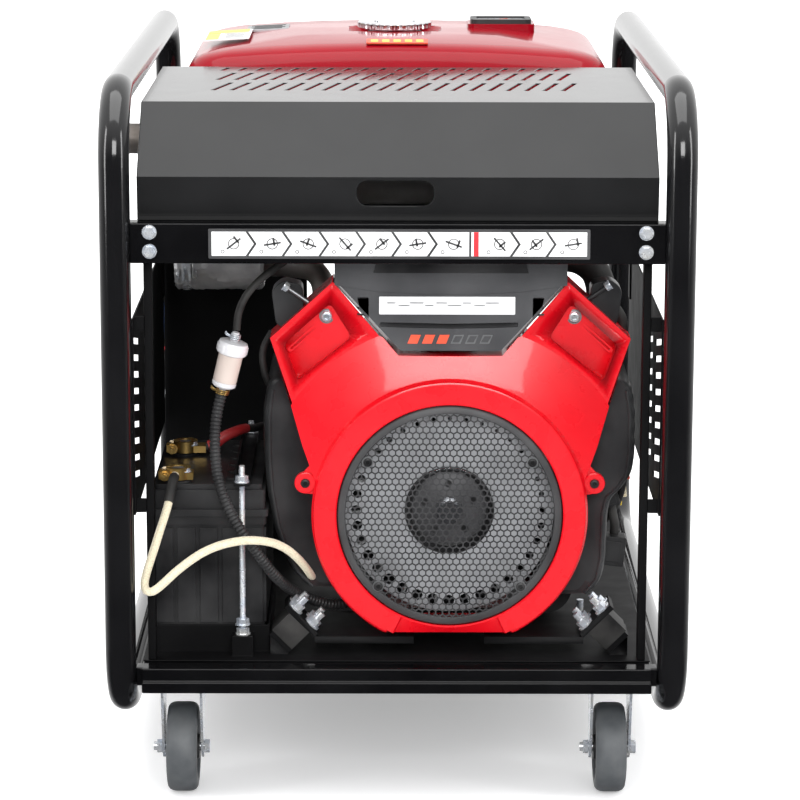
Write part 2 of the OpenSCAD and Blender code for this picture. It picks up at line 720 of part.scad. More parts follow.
module battery_hold_down() color("#b8bcc0") {
    x = rod_place;
    block([x - 9, batt_y - 22, batt_z + batt_h + 3.5], [x + 9, batt_y + batt_l + 18, batt_z + batt_h + 7]);
    rod_z(x, batt_y - 13, 186, batt_z + batt_h + 3.5, 3.5);
    rod_z(x, batt_y - 13, batt_z + batt_h + 7, batt_z + batt_h + 26, 3.5);
    rod_z(x, batt_y + batt_l + 10, floor_z, batt_z + batt_h + 3.5, 3.5);
    rod_z(x, batt_y - 13, 186, 188, 8.5);
    translate([x, batt_y - 13, 188]) cylinder(r = 7.5, h = 7, $fn = 6);
    translate([x, batt_y - 13, 199]) cylinder(r = 7.5, h = 7, $fn = 6);
    translate([x, batt_y - 13, batt_z + batt_h + 7]) cylinder(r = 7.5, h = 7, $fn = 6);
    translate([x, batt_y + batt_l + 10, batt_z + batt_h + 7]) cylinder(r = 7.5, h = 7, $fn = 6);
}

// ---------- leads and hoses ----------
module negative_lead() color("#ddd2b4") swept_tube(negative_route, 4.7, [0, 1, 0.2]);
module positive_lead() color("#b01a20") swept_tube(positive_route, 4.7, [0, 0.3, 1]);
module fuel_hose() color("#1a1a1b") swept_tube(hose_route, 4.2, [1, 0, 0]);
module fuel_loom() color("#1a1a1b") swept_tube(loom_route, 6.5, [0, 1, 0]);
module plug_leads() color("#17171a") {
    swept_tube(left_plug_route, 3.5, [0, 0, 1]);
    swept_tube(right_plug_route, 3.5, [0, 0, 1]);
}

// In-line fuel filter, leaning between the hose and the loom
module fuel_filter() color("#efe8e4")
    translate([-196, -399, 463]) rotate([3, 13.5, 0]) {
        cylinder(r = 4, h = 10);
        translate([0, 0, 8]) cylinder(r = 14, h = 40);
        translate([0, 0, 48]) cylinder(r = 17.5, h = 14);
        translate([0, 0, 62]) cylinder(r = 4, h = 10);
    }

// ---------- control panel ----------
module control_panel() color("#232428") mirror([1, 0, 0]) {
    difference() {
        block([panel_x - panel_d, panel_y, panel_z], [panel_x, panel_y + panel_l, panel_z + panel_h]);
        block([panel_x - panel_d - 1, panel_y + 3, panel_z + 3],
              [panel_x - 3, panel_y + panel_l - 3, panel_z + panel_h - 3]);
        for (y = socket_y) rod_x(panel_x - 4, panel_x + 1, y, socket_z, 27.2);
        rod_x(panel_x - 4, panel_x + 1, key_y, upper_row_z, 6.05);
        rod_x(panel_x - 4, panel_x + 1, choke_y, upper_row_z, 4.05);
        block([panel_x - 4, breaker_y - 9, upper_row_z - 17], [panel_x + 1, breaker_y + 9, upper_row_z + 17]);
    }
    // Ears of the flap's hinge
    for (y = [socket_y[0] - 39.5, socket_y[1] + 36.5]) difference() {
        block([panel_x, y, flap_z - 4], [panel_x + 9, y + 3, flap_z + 4]);
        rod_y(panel_x + 5, y - 1, y + 4, flap_z, 1.55);
    }
    // Breaker case behind its slot, and the straps up to the side rail
    block([panel_x - 26, breaker_y - 12, upper_row_z - 20], [panel_x - 10, breaker_y + 12, upper_row_z + 20]);
    for (s = [-1, 1]) block([panel_x - 12, breaker_y + s * 11 - 1.5, upper_row_z - 20],
                            [panel_x - 2, breaker_y + s * 11 + 1.5, upper_row_z + 20]);
    for (y = [panel_y + 20, panel_y + panel_l - 40])
        block([side_rail_x - 7, y, panel_z + panel_h - 1], [side_rail_x + 7, y + 20, 634]);
}

module sockets() color("#2e5ea8") mirror([1, 0, 0])
    for (y = socket_y) difference() {
        union() {
            rod_x(panel_x - 22, panel_x, y, socket_z, 27);
            rod_x(panel_x, panel_x + 3, y, socket_z, 31);
        }
        rod_x(panel_x - 14, panel_x + 4, y, socket_z, 20);
        for (a = [90, 210, 330]) translate([0, y + 10 * cos(a), socket_z + 10 * sin(a)])
            rod_x(panel_x - 20, panel_x - 13, 0, 0, 2.5);
    }

// Weather flap over both sockets, hinged along its top edge
module socket_cover() color("#3a3c40") mirror([1, 0, 0]) {
    block([panel_x + 4, socket_y[0] - 36, socket_z - 34], [panel_x + 6.5, socket_y[1] + 36, flap_z]);
    rod_y(panel_x + 5, socket_y[0] - 36, socket_y[1] + 36, flap_z, 3);
    rod_y(panel_x + 5, socket_y[0] - 39.5, socket_y[1] + 39.5, flap_z, 1.5);
}

module breaker_toggle() color("#e9e9ea") mirror([1, 0, 0])
    translate([panel_x, breaker_y, upper_row_z]) {
        rod_y(-2, -6, 6, 0, 7);
        rotate([0, -25, 0]) block([0, -5, -3], [15, 5, 3]);
    }

module ignition_key() color("#c3c6c9") mirror([1, 0, 0]) {
    rod_x(panel_x - 24, panel_x + 3, key_y, upper_row_z, 6);
    block([panel_x + 3, key_y - 1.2, upper_row_z - 4], [panel_x + 10, key_y + 1.2, upper_row_z + 4]);
    translate([panel_x + 10, key_y - 1.2, upper_row_z]) rotate([0, 90, 90]) difference() {
        cylinder(r = 10, h = 2.4);
        translate([5, 0, -1]) cylinder(r = 2.5, h = 5);
    }
}

module choke_knob() color("#1d1d1f") mirror([1, 0, 0]) {
    rod_x(panel_x - 30, panel_x + 2, choke_y, upper_row_z, 4);
    rod_x(panel_x + 2, panel_x + 10, choke_y, upper_row_z, 10);
}

// ---------- casters ----------
// One leg of a fork, narrowing to the axle
module fork_leg(side, axle_y) {
    top = caster_top - 5;
    outline = [[-30, top], [30, top], [axle_y + 13, wheel_r], [axle_y, wheel_r - 13],
               [axle_y - 13, wheel_r]];
    translate([side * 22 - 1.5, 0, 0]) rotate([90, 0, 90]) linear_extrude(3) polygon(outline);
}

// Fork with its crown plate and axle bolt; a rigid one is bolted up by its plate
module fork(axle_y, crown_z) {
    difference() {
        union() {
            translate([0, 0, crown_z - 5]) linear_extrude(3) rounded_rect(58, 62, 10);
            for (side = [-1, 1]) fork_leg(side, axle_y);
        }
        rod_x(-30, 30, axle_y, wheel_r, axle_r);
    }
    rod_x(-34, 30, axle_y, wheel_r, axle_r - 0.05);
    for (x = [-30, 24]) translate([x, axle_y, wheel_r]) rotate([0, 90, 0]) cylinder(r = 8, h = 6, $fn = 6);
}

module caster_frames() color("#c6ccd2") {
    for (side = [-1, 1]) {
        translate([side * front_wheel_x, front_wheel_y, 0]) {
            fork(0, caster_top);
            translate([0, 0, caster_top - 2]) linear_extrude(cast_h + 2) rounded_rect(84, 66, 6);
        }
        translate([side * rear_swivel_x, rear_swivel_y, 0]) {
            translate([0, 0, caster_top]) linear_extrude(cast_h) rounded_rect(84, 90, 6);
            rod_z(0, 0, caster_top - 9, caster_top, 6);
        }
    }
}

module rear_fork(side) color("#c6ccd2")
    translate([side * rear_swivel_x, rear_swivel_y, 0]) difference() {
        fork(trail, caster_top);
        rod_z(0, 0, caster_top - 10, caster_top + 1, 6.05);
    }
module rear_fork_left() rear_fork(-1);
module rear_fork_right() rear_fork(1);

// Rounded tread on a hub with a running bore
module wheel(x, y) color("#6b7075")
    translate([x, y, wheel_r]) rotate([0, 90, 0])
        rotate_extrude() polygon([
            [axle_r, -wheel_w / 2 - 1], [14, -wheel_w / 2 - 1], [16, -wheel_w / 2 + 5],
            [36, -wheel_w / 2 + 5], [40, -wheel_w / 2], [wheel_r - 5, -wheel_w / 2],
            [wheel_r - 1.5, -wheel_w / 2 + 2], [wheel_r, -wheel_w / 2 + 6],
            [wheel_r, wheel_w / 2 - 6], [wheel_r - 1.5, wheel_w / 2 - 2],
            [wheel_r - 5, wheel_w / 2], [40, wheel_w / 2], [36, wheel_w / 2 - 5],
            [16, wheel_w / 2 - 5], [14, wheel_w / 2 + 1], [axle_r, wheel_w / 2 + 1]]);
module wheel_front_left() wheel(-front_wheel_x, front_wheel_y);
module wheel_front_right() wheel(front_wheel_x, front_wheel_y);
module wheel_rear_left() wheel(-rear_swivel_x, rear_swivel_y + trail);
module wheel_rear_right() wheel(rear_swivel_x, rear_swivel_y + trail);

side_loop_left();
side_loop_right();
base_rails();
deck_tray();
cross_bars();
uprights();
upper_rails();
side_guards();
bolts();
muffler_cover();
muffler();
exhaust_wrap();
tank_upper_shell();
tank_lower_shell();
filler_neck();
fuel_cap_seal();
fuel_cap();
fuel_gauge();
crankcase();
cylinders();
cylinder_heads();
cylinder_shrouds();
fan_shroud();
fan_grille();
intake_panel();
air_cleaner();
carburettor();
flywheel_fan();
crankshaft();
alternator_rotor();
alternator_housing();
alternator_stator();
crank_bearings();
starter_motor();
oil_filter();
dipstick();
mount_brackets();
rubber_mounts();
battery();
battery_clamps();
battery_hold_down();
negative_lead();
positive_lead();
fuel_filter();
fuel_hose();
fuel_loom();
plug_leads();
control_panel();
sockets();
socket_cover();
breaker_toggle();
ignition_key();
choke_knob();
caster_frames();
rear_fork_left();
rear_fork_right();
wheel_front_left();
wheel_front_right();
wheel_rear_left();
wheel_rear_right();
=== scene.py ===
"""Looks of an open-frame portable generator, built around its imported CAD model. Metres throughout.

X runs across the fan end, Y from the fan end (-Y) to the alternator end, Z is up.
"""

import json
import math

import bmesh
import bpy
from mathutils import Matrix, Vector


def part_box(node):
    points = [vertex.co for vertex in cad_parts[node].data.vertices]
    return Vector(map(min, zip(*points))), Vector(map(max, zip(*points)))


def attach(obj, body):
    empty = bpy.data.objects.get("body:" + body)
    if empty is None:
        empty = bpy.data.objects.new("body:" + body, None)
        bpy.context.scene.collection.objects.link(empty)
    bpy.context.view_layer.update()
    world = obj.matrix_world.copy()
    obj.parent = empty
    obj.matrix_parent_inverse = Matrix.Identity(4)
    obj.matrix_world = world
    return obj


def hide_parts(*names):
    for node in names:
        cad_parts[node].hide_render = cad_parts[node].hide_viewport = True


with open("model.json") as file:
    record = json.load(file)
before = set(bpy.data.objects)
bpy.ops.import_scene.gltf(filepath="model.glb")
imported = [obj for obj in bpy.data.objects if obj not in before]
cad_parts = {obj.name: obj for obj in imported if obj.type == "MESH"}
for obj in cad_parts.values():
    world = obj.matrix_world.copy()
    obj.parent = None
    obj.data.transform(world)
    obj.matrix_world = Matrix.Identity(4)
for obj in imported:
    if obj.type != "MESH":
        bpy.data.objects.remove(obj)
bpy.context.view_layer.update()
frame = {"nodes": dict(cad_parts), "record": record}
scene = bpy.context.scene
nodes = frame["nodes"]
MM = 0.001
ROOT = "machine"


def centre(node):
    """Middle of a CAD node's box."""
    low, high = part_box(node)
    return (low + high) / 2


crank = Vector((centre("crankshaft").x, 0, centre("fan_grille").z))
tank_middle = centre("tank_lower_shell") / MM
tank_half = (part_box("tank_lower_shell")[1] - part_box("tank_lower_shell")[0]) / 2 / MM
tank_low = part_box("tank_lower_shell")[0].z / MM
tank_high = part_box("fuel_cap")[1].z / MM - 11

# ---------------------------------------------------------------- camera
CAMERA_AT = Vector((-0.0113, -4.0095, 1.2175))
PITCH = math.radians(11.916)
YAW = math.radians(0.226)
ROLL = math.radians(0.166)
SENSOR_MM, LENS_MM = 36, 148.7


def make_camera():
    """A long lens in front of the fan end, a little above the machine and looking down at it."""
    forward = Vector((math.sin(YAW) * math.cos(PITCH), math.cos(YAW) * math.cos(PITCH), -math.sin(PITCH)))
    right = Vector((math.cos(YAW), -math.sin(YAW), 0))
    up = right.cross(forward)
    side = right * math.cos(ROLL) + up * math.sin(ROLL)
    top = up * math.cos(ROLL) - right * math.sin(ROLL)
    data = bpy.data.cameras.new("camera")
    data.sensor_width, data.lens = SENSOR_MM, LENS_MM
    data.clip_end = 60
    camera = bpy.data.objects.new("camera", data)
    camera.matrix_world = Matrix.Translation(CAMERA_AT) @ Matrix((side, top, -forward)).transposed().to_4x4()
    scene.collection.objects.link(camera)
    scene.camera = camera


make_camera()


# ---------------------------------------------------------------- node materials
def link(tree, a, b):
    tree.links.new(a, b)


LOOKS = {}      # every material by its name


class Surface:
    """A Principled material whose colour, roughness and bump come from procedural textures."""

    def __init__(self, name, color, rough=0.5, metal=0.0, coat=0.0, coat_rough=0.05, sheen=0.0,
                 transmission=0.0, specular=0.5):
        self.material = LOOKS[name] = bpy.data.materials.new(name)
        self.material.use_nodes = True
        self.tree = self.material.node_tree
        self.shader = next(n for n in self.tree.nodes if n.type == "BSDF_PRINCIPLED")
        self.put = self.shader.inputs
        self.put["Base Color"].default_value = (*color, 1)
        self.put["Roughness"].default_value = rough
        self.put["Metallic"].default_value = metal
        self.put["Coat Weight"].default_value = coat
        self.put["Coat Roughness"].default_value = coat_rough
        self.put["Sheen Weight"].default_value = sheen
        self.put["Transmission Weight"].default_value = transmission
        self.put["Specular IOR Level"].default_value = specular
        self.place = self.node("ShaderNodeTexCoord").outputs["Object"]
        self.last_bump = None

    def node(self, kind, **values):
        made = self.tree.nodes.new(kind)
        for key, value in values.items():
            if key in made.inputs:
                made.inputs[key].default_value = value
            else:
                setattr(made, key, value)
        return made

    def stretched(self, scale):
        """Object coordinates, scaled by a different amount along each axis."""
        mapping = self.node("ShaderNodeMapping")
        mapping.inputs["Scale"].default_value = scale
        link(self.tree, self.place, mapping.inputs["Vector"])
        return mapping.outputs["Vector"]

    def noise(self, scale, detail=4.0, stretch=None):
        made = self.node("ShaderNodeTexNoise", Scale=scale, Detail=detail)
        link(self.tree, self.stretched(stretch) if stretch else self.place, made.inputs["Vector"])
        return made.outputs["Fac"]

    def cells(self, scale, stretch=None, feature="F1", output="Distance"):
        made = self.node("ShaderNodeTexVoronoi", Scale=scale, feature=feature)
        link(self.tree, self.stretched(stretch) if stretch else self.place, made.inputs["Vector"])
        return made.outputs[output]

    def ramp(self, value, *stops):
        """A colour ramp; each stop is (place, (r, g, b))."""
        made = self.node("ShaderNodeValToRGB")
        band = made.color_ramp
        while len(band.elements) < len(stops):
            band.elements.new(0.5)
        for element, (at, color) in zip(band.elements, stops):
            element.position = at
            element.color = (*color, 1)
        link(self.tree, value, made.inputs["Fac"])
        return made.outputs["Color"]

    def vary_color(self, value, low, high, start=0.3, end=0.7):
        link(self.tree, self.ramp(value, (start, low), (end, high)), self.put["Base Color"])
        return self

    def vary_rough(self, value, low, high):
        made = self.node("ShaderNodeMapRange")
        made.inputs["To Min"].default_value = low
        made.inputs["To Max"].default_value = high
        link(self.tree, value, made.inputs["Value"])
        link(self.tree, made.outputs["Result"], self.put["Roughness"])
        return self

    def bump(self, value, depth, strength=1.0):
        """Adds a bump of that depth in metres on top of any earlier one."""
        made = self.node("ShaderNodeBump", Distance=depth, Strength=strength)
        link(self.tree, value, made.inputs["Height"])
        if self.last_bump:
            link(self.tree, self.last_bump, made.inputs["Normal"])
        self.last_bump = made.outputs["Normal"]
        link(self.tree, self.last_bump, self.put["Normal"])
        return self


def mixed(a, b, share):
    return tuple(x * (1 - share) + y * share for x, y in zip(a, b))


def enamel(name, color, rough=0.16, peel=0.00006, coat=0.6, specular=0.4):
    """Sprayed or powder-coated metal: orange peel, faint dust and uneven gloss."""
    s = Surface(name, color, rough, coat=coat, coat_rough=0.05, specular=specular)
    s.vary_color(s.noise(9, 6), mixed(color, (0, 0, 0), 0.12), mixed(color, (0.5, 0.5, 0.52), 0.006))
    s.vary_rough(s.noise(40, 5), rough * 0.85, rough * 1.3)
    s.bump(s.noise(420, 3), peel, 0.5)
    return s.material


def plastic(name, color, rough=0.42, grain=0.0001, size=900, specular=0.4):
    """Moulded plastic with a fine texture."""
    s = Surface(name, color, rough, specular=specular)
    s.vary_color(s.noise(14, 5), mixed(color, (0, 0, 0), 0.15), mixed(color, (0.6, 0.6, 0.6), 0.05))
    s.vary_rough(s.noise(60, 4), rough * 0.85, rough * 1.2)
    s.bump(s.cells(size), grain, 0.4)
    return s.material


def rubber(name, color, rough=0.62):
    s = Surface(name, color, rough, specular=0.35)
    s.vary_color(s.noise(30, 6), mixed(color, (0, 0, 0), 0.2), mixed(color, (0.5, 0.48, 0.45), 0.07))
    s.bump(s.noise(700, 3), 0.0001, 0.5)
    return s.material


def cast_metal(name, color, rough=0.45, metal=0.85):
    """Sand-cast or die-cast alloy."""
    s = Surface(name, color, rough, metal)
    s.vary_color(s.noise(25, 7), mixed(color, (0, 0, 0), 0.3), color)
    s.vary_rough(s.noise(90, 4), rough * 0.8, rough * 1.3)
    s.bump(s.noise(650, 4), 0.00025, 0.6)
    return s.material


def turned_metal(name, color, rough=0.25, stretch=(1, 1, 40), metal=1.0):
    """Plated or machined metal with fine scratches along one direction."""
    s = Surface(name, color, rough, metal)
    s.vary_color(s.noise(18, 5), mixed(color, (0.1, 0.1, 0.1), 0.18), color)
    s.vary_rough(s.noise(60, 5, stretch), rough * 0.6, rough * 1.6)
    s.bump(s.noise(220, 3, stretch), 0.00005, 0.4)
    return s.material


def zinc_plate(name, tint=(0.70, 0.73, 0.77)):
    """Bright zinc with the bluish and yellowish bloom of passivation."""
    s = Surface(name, tint, 0.3, 0.65, specular=0.8)
    tones = s.ramp(s.noise(55, 6), (0.3, mixed(tint, (0.25, 0.36, 0.55), 0.35)), (0.5, tint),
                   (0.7, mixed(tint, (0.80, 0.74, 0.55), 0.3)))
    link(s.tree, tones, s.put["Base Color"])
    s.vary_rough(s.noise(120, 4), 0.16, 0.36)
    s.bump(s.noise(500, 3), 0.00006, 0.4)
    return s.material


def foil(name):
    """Crinkled aluminium heat wrap."""
    s = Surface(name, (0.7, 0.7, 0.71), 0.3, 0.6, specular=0.8)
    s.vary_color(s.noise(26, 5), (0.42, 0.42, 0.43), (0.74, 0.74, 0.74))
    s.bump(s.noise(60, 4, (1, 1, 5)), 0.0016, 0.6)
    s.bump(s.noise(240, 4), 0.0004, 0.5)
    return s.material


def braid(name, color, size=560):
    """Woven sleeve."""
    s = Surface(name, color, 0.85, sheen=0.3)
    s.vary_color(s.cells(size), mixed(color, (0.25, 0.2, 0.12), 0.35), color, 0.1, 0.6)
    s.bump(s.cells(size), 0.0006, 0.9)
    s.bump(s.noise(900, 3), 0.0002, 0.5)
    return s.material


def heat_stained(name):
    """Dull rolled steel that has been hot."""
    s = Surface(name, (0.42, 0.41, 0.40), 0.5, 0.9)
    s.vary_color(s.noise(12, 7), (0.26, 0.22, 0.19), (0.52, 0.51, 0.50))
    s.vary_rough(s.noise(50, 5), 0.35, 0.7)
    s.bump(s.noise(300, 4), 0.0001, 0.5)
    return s.material


# Slots of the CAD nodes: each material has the name of its slot
enamel("frame_paint", (0.004, 0.004, 0.0045), 0.12, 0.00005, 0.35)
enamel("guard_paint", (0.009, 0.009, 0.0105), 0.3, 0.00008, 0.15)
BAR_BLACK = enamel("bar_paint", (0.0022, 0.0022, 0.0026), 0.16, 0.00005, 0.12, 0.12)
enamel("cover_paint", (0.012, 0.0122, 0.0126), 0.12, 0.00003, 0.17, 0.15)
TANK_RED = enamel("tank_paint", (0.29, 0.002, 0.010), 0.14, 0.00003, 0.14, 0.14)
SHROUD_RED = enamel("shroud_red", (0.72, 0.0015, 0.009), 0.26, 0.00003, 0.34, 0.4)
DECK_BLACK = enamel("deck_paint", (0.0026, 0.0026, 0.003), 0.5, 0.00008, 0.0, 0.12)
ZINC = zinc_plate("zinc")
DULL_STEEL = turned_metal("dull_steel", (0.45, 0.46, 0.47), 0.4)
SHAFT_STEEL = turned_metal("shaft_steel", (0.55, 0.56, 0.58), 0.25)
CHROME = turned_metal("chrome", (0.82, 0.83, 0.85), 0.08)
BRASS = turned_metal("brass", (0.60, 0.40, 0.13), 0.35)
MUFFLER_STEEL = heat_stained("muffler_steel")
FOIL = foil("heat_foil")
CAST = cast_metal("cast_alloy", (0.50, 0.51, 0.51))
GRILLE_GREY = plastic("grille_grey", (0.034, 0.034, 0.036), 0.5)
# Darker copy of the grille's grey for the honeycomb sheet: painted shade
MESH_GREY_SHADED = plastic("mesh_grey", (0.022, 0.022, 0.024), 0.5)
DARK_GREY = plastic("dark_grey_plastic", (0.040, 0.041, 0.045), 0.45)
BLACK_PLASTIC = plastic("black_plastic", (0.008, 0.008, 0.009), 0.38, specular=0.3)
BATTERY_BLACK = plastic("battery_case", (0.006, 0.006, 0.007), 0.36, 0.00014, 600, 0.2)
BLACK_RUBBER = rubber("black_rubber", (0.0045, 0.0045, 0.005))
RED_RUBBER = rubber("red_rubber", (0.42, 0.012, 0.016), 0.45)
WHEEL_GREY = rubber("wheel_grey", (0.068, 0.075, 0.082), 0.5)
CREAM_BRAID = braid("cream_sleeve", (0.66, 0.60, 0.44))
FILTER_WHITE = enamel("filter_white", (0.64, 0.64, 0.66), 0.25)
FILTER_CLEAR = plastic("filter_clear", (0.58, 0.49, 0.44), 0.22, 0.00003)
BLUE_PLASTIC = plastic("blue_plastic", (0.015, 0.11, 0.42), 0.3)
WHITE_PLASTIC = plastic("white_plastic", (0.78, 0.78, 0.79), 0.3)
YELLOW_PLASTIC = plastic("yellow_plastic", (0.80, 0.55, 0.02), 0.3)
turned_metal("copper_winding", (0.22, 0.09, 0.03), 0.4, (1, 1, 1), 0.4)
# Looks of drawn pieces only
COVER_PLASTIC = plastic("cover_plastic", (0.011, 0.0115, 0.013), 0.36, 0.00005, 800, 0.35)
BAR_ORANGE = plastic("bar_orange", (0.75, 0.07, 0.02), 0.4)
LABEL_WHITE = plastic("label_white", (0.86, 0.86, 0.86), 0.45, 0.00002)
LABEL_RED = plastic("label_red", (0.72, 0.01, 0.02), 0.4, 0.00002)
LEAD_GREY = cast_metal("lead_grey", (0.30, 0.30, 0.31), 0.5)
PLATE_GREY = cast_metal("screen_plate", (0.46, 0.47, 0.49), 0.45, 0.1)
HUB_GREY = cast_metal("hub_grey", (0.11, 0.11, 0.115), 0.4, 0.3)


# ---------------------------------------------------------------- mesh helpers
def at(x, y, z, turn=Matrix.Identity(3)):
    """Place of a shape that is drawn in millimetres: its origin in metres, and how it is turned."""
    return Matrix.Translation((x, y, z)) @ turn.to_4x4() @ Matrix.Scale(MM, 4)


TO_VIEWER = Matrix(((1, 0, 0), (0, 0, -1), (0, 1, 0)))      # local z points to -Y, local y up
TO_RIGHT = Matrix(((0, 0, 1), (1, 0, 0), (0, 1, 0)))        # local z points to +X, local x to +Y
TO_LEFT = Matrix(((0, 0, -1), (-1, 0, 0), (0, 1, 0)))       # local z points to -X, local x to -Y
TO_BACK = Matrix(((-1, 0, 0), (0, 0, 1), (0, 1, 0)))        # local z points to +Y, local y up


def moved(place, x, y, z):
    """The place shifted along its own axes."""
    return place @ Matrix.Translation((x, y, z))


def spun(place, degrees, axis="Z"):
    """The place turned about one of its own axes."""
    return place @ Matrix.Rotation(math.radians(degrees), 4, axis)


def on_engine(y, u=0.0, v=0.0):
    """A place facing the viewer at depth y (metres), u and v millimetres from the crankshaft."""
    return at(crank.x + u * MM, y, crank.z + v * MM, TO_VIEWER)


def ring_points(r, n, start=0.0, end=360.0, middle=(0, 0)):
    """Points of a circle or of an arc; a whole circle doesn't repeat its first point."""
    whole = abs(end - start) >= 360
    steps = n if whole else n - 1
    angles = [math.radians(start + (end - start) * i / steps) for i in range(n)]
    return [(middle[0] + r * math.cos(a), middle[1] + r * math.sin(a)) for a in angles]


def rounded(points, r, n=5):
    """The polygon with each corner turned into an arc of about radius r."""
    out = []
    for i, point in enumerate(points):
        p = Vector(point)
        before = (Vector(points[i - 1]) - p)
        after = (Vector(points[(i + 1) % len(points)]) - p)
        cut = min(r, before.length * 0.45, after.length * 0.45)
        a, b = p + before.normalized() * cut, p + after.normalized() * cut
        for k in range(n):
            t = k / (n - 1)
            out.append(tuple(a * (1 - t) ** 2 + p * 2 * t * (1 - t) + b * t * t))
    return out


def rect(w, h, r=0.0, middle=(0, 0), n=5):
    x, y = middle
    corners = [(x - w / 2, y - h / 2), (x + w / 2, y - h / 2), (x + w / 2, y + h / 2), (x - w / 2, y + h / 2)]
    return rounded(corners, r, n) if r else corners


def mirrored(points):
    """The outline reflected in x, and kept running the same way round."""
    return [(-x, y) for x, y in reversed(points)]


def round_edges(obj, edge, angle):
    """Rounds the sharp edges by that many millimetres, and keeps the flats flat."""
    bevel = obj.modifiers.new("rounded", "BEVEL")
    bevel.width = edge * MM
    bevel.segments = 2
    bevel.limit_method = "ANGLE"
    bevel.angle_limit = math.radians(angle)
    bevel.use_clamp_overlap = True
    flat = obj.modifiers.new("flats", "WEIGHTED_NORMAL")
    flat.keep_sharp = True
    flat.weight = 80


class Shape:
    """A mesh put together from slabs, turned shapes, tubes and strips; each part may have its own look."""

    def __init__(self):
        self.bm = bmesh.new()
        self.looks = []

    def slot(self, look):
        if look not in self.looks:
            self.looks.append(look)
        return self.looks.index(look)

    def face(self, verts, index):
        try:
            made = self.bm.faces.new(verts)
        except ValueError:
            return
        made.material_index = index

    def slab(self, look, place, outline, low, high, holes=()):
        """The outline, less its holes, drawn out along local z from low to high."""
        index = self.slot(look)
        ends = []
        for z in (low, high):
            edges, loops = [], []
            for loop in (outline, *holes):
                verts = [self.bm.verts.new(place @ Vector((x, y, z))) for x, y in loop]
                loops.append(verts)
                edges += [self.bm.edges.new((verts[i - 1], verts[i])) for i in range(len(verts))]
            if holes:
                made = bmesh.ops.triangle_fill(self.bm, use_beauty=True, edges=edges)["geom"]
                for part in made:
                    if isinstance(part, bmesh.types.BMFace):
                        part.material_index = index
            else:
                self.face(loops[0], index)
            ends.append(loops)
        for lower, upper in zip(*ends):
            for i in range(len(lower)):
                self.face((lower[i - 1], lower[i], upper[i], upper[i - 1]), index)
        return self

    def turned(self, look, place, profile, steps=48, closed=False):
        """The (radius, height) profile turned about local z."""
        index = self.slot(look)
        rings = []
        for r, z in profile:
            if r < 1e-6:
                rings.append([self.bm.verts.new(place @ Vector((0, 0, z)))])
            else:
                rings.append([self.bm.verts.new(place @ Vector((x, y, z))) for x, y in ring_points(r, steps)])
        pairs = list(zip(rings, rings[1:])) + ([(rings[-1], rings[0])] if closed else [])
        for a, b in pairs:
            for i in range(steps):
                if len(a) == 1 and len(b) > 1:
                    self.face((a[0], b[i], b[i - 1]), index)
                elif len(b) == 1 and len(a) > 1:
                    self.face((a[i - 1], a[i], b[0]), index)
                elif len(a) > 1:
                    self.face((a[i - 1], a[i], b[i], b[i - 1]), index)
        return self

    def strips(self, look, rings, around=True, ends=True):
        """Quads between neighbouring rings of world points; ends closes the first and the last."""
        index = self.slot(look)
        made = [[self.bm.verts.new(p) for p in ring] for ring in rings]
        for a, b in zip(made, made[1:]):
            for i in range(0 if around else 1, len(a)):
                self.face((a[i - 1], a[i], b[i], b[i - 1]), index)
        if ends:
            self.face(made[0], index)
            self.face(made[-1], index)
        return self

    def tube(self, look, points, radius, sides=12):
        """A round tube through world points; radius is a number or a function of the share of its length."""
        path = [Vector(p) for p in points]
        side = Vector((0.13, 0.21, 0.97))
        rings = []
        for i, p in enumerate(path):
            along = (path[min(i + 1, len(path) - 1)] - path[max(i - 1, 0)]).normalized()
            side = (side - along * side.dot(along)).normalized()
            other = along.cross(side)
            r = radius(i / (len(path) - 1)) if callable(radius) else radius
            rings.append([p + r * (side * x + other * y) for x, y in ring_points(1, sides)])
        return self.strips(look, rings)

    def bolt(self, look, place, r=5.0, height=4.0, washer=0.0, stud=0.0):
        """A hexagon head or nut standing on local z 0, with a washer and a stud end if they have a size."""
        if washer:
            self.turned(look, place, [(0, 0), (washer, 0), (washer, 1.2), (0, 1.2)], 28)
        top = [(x, y) for x, y in ring_points(r, 6)]
        self.slab(look, place, top, 0.8 if washer else 0, height)
        self.turned(look, place, [(0, height), (r * 0.8, height), (r * 0.74, height + 0.5), (0, height + 0.5)], 24)
        if stud:
            self.turned(look, place, [(0, height), (r * 0.52, height), (r * 0.52, height + stud - 0.8),
                                      (r * 0.4, height + stud), (0, height + stud)], 20)
        return self

    def screw(self, look, place, r=5.0, height=3.0):
        """A domed cap-screw head with a hexagon socket."""
        self.turned(look, place, [(0, 0), (r, 0), (r, height * 0.5), (r * 0.86, height * 0.86), (r * 0.6, height),
                                  (r * 0.5, height), (r * 0.42, height * 0.35), (0, height * 0.3)], 28)
        return self

    def end(self, name, body=ROOT, slot=None, replaces=(), edge=0.0, angle=35, weld=True):
        """Makes the object, lets it ride on its body, and rounds or splits its sharp edges."""
        if weld:
            bmesh.ops.remove_doubles(self.bm, verts=self.bm.verts, dist=0.000005)
        bmesh.ops.recalc_face_normals(self.bm, faces=self.bm.faces)
        mesh = bpy.data.meshes.new(name)
        self.bm.to_mesh(mesh)
        self.bm.free()
        for look in self.looks:
            mesh.materials.append(look)
        for polygon in mesh.polygons:
            polygon.use_smooth = True
        obj = bpy.data.objects.new(name, mesh)
        scene.collection.objects.link(obj)
        if edge:
            round_edges(obj, edge, angle)
        else:
            split = obj.modifiers.new("edges", "EDGE_SPLIT")
            split.split_angle = math.radians(angle)
        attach(obj, body)
        if replaces:
            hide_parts(*replaces)
        return obj


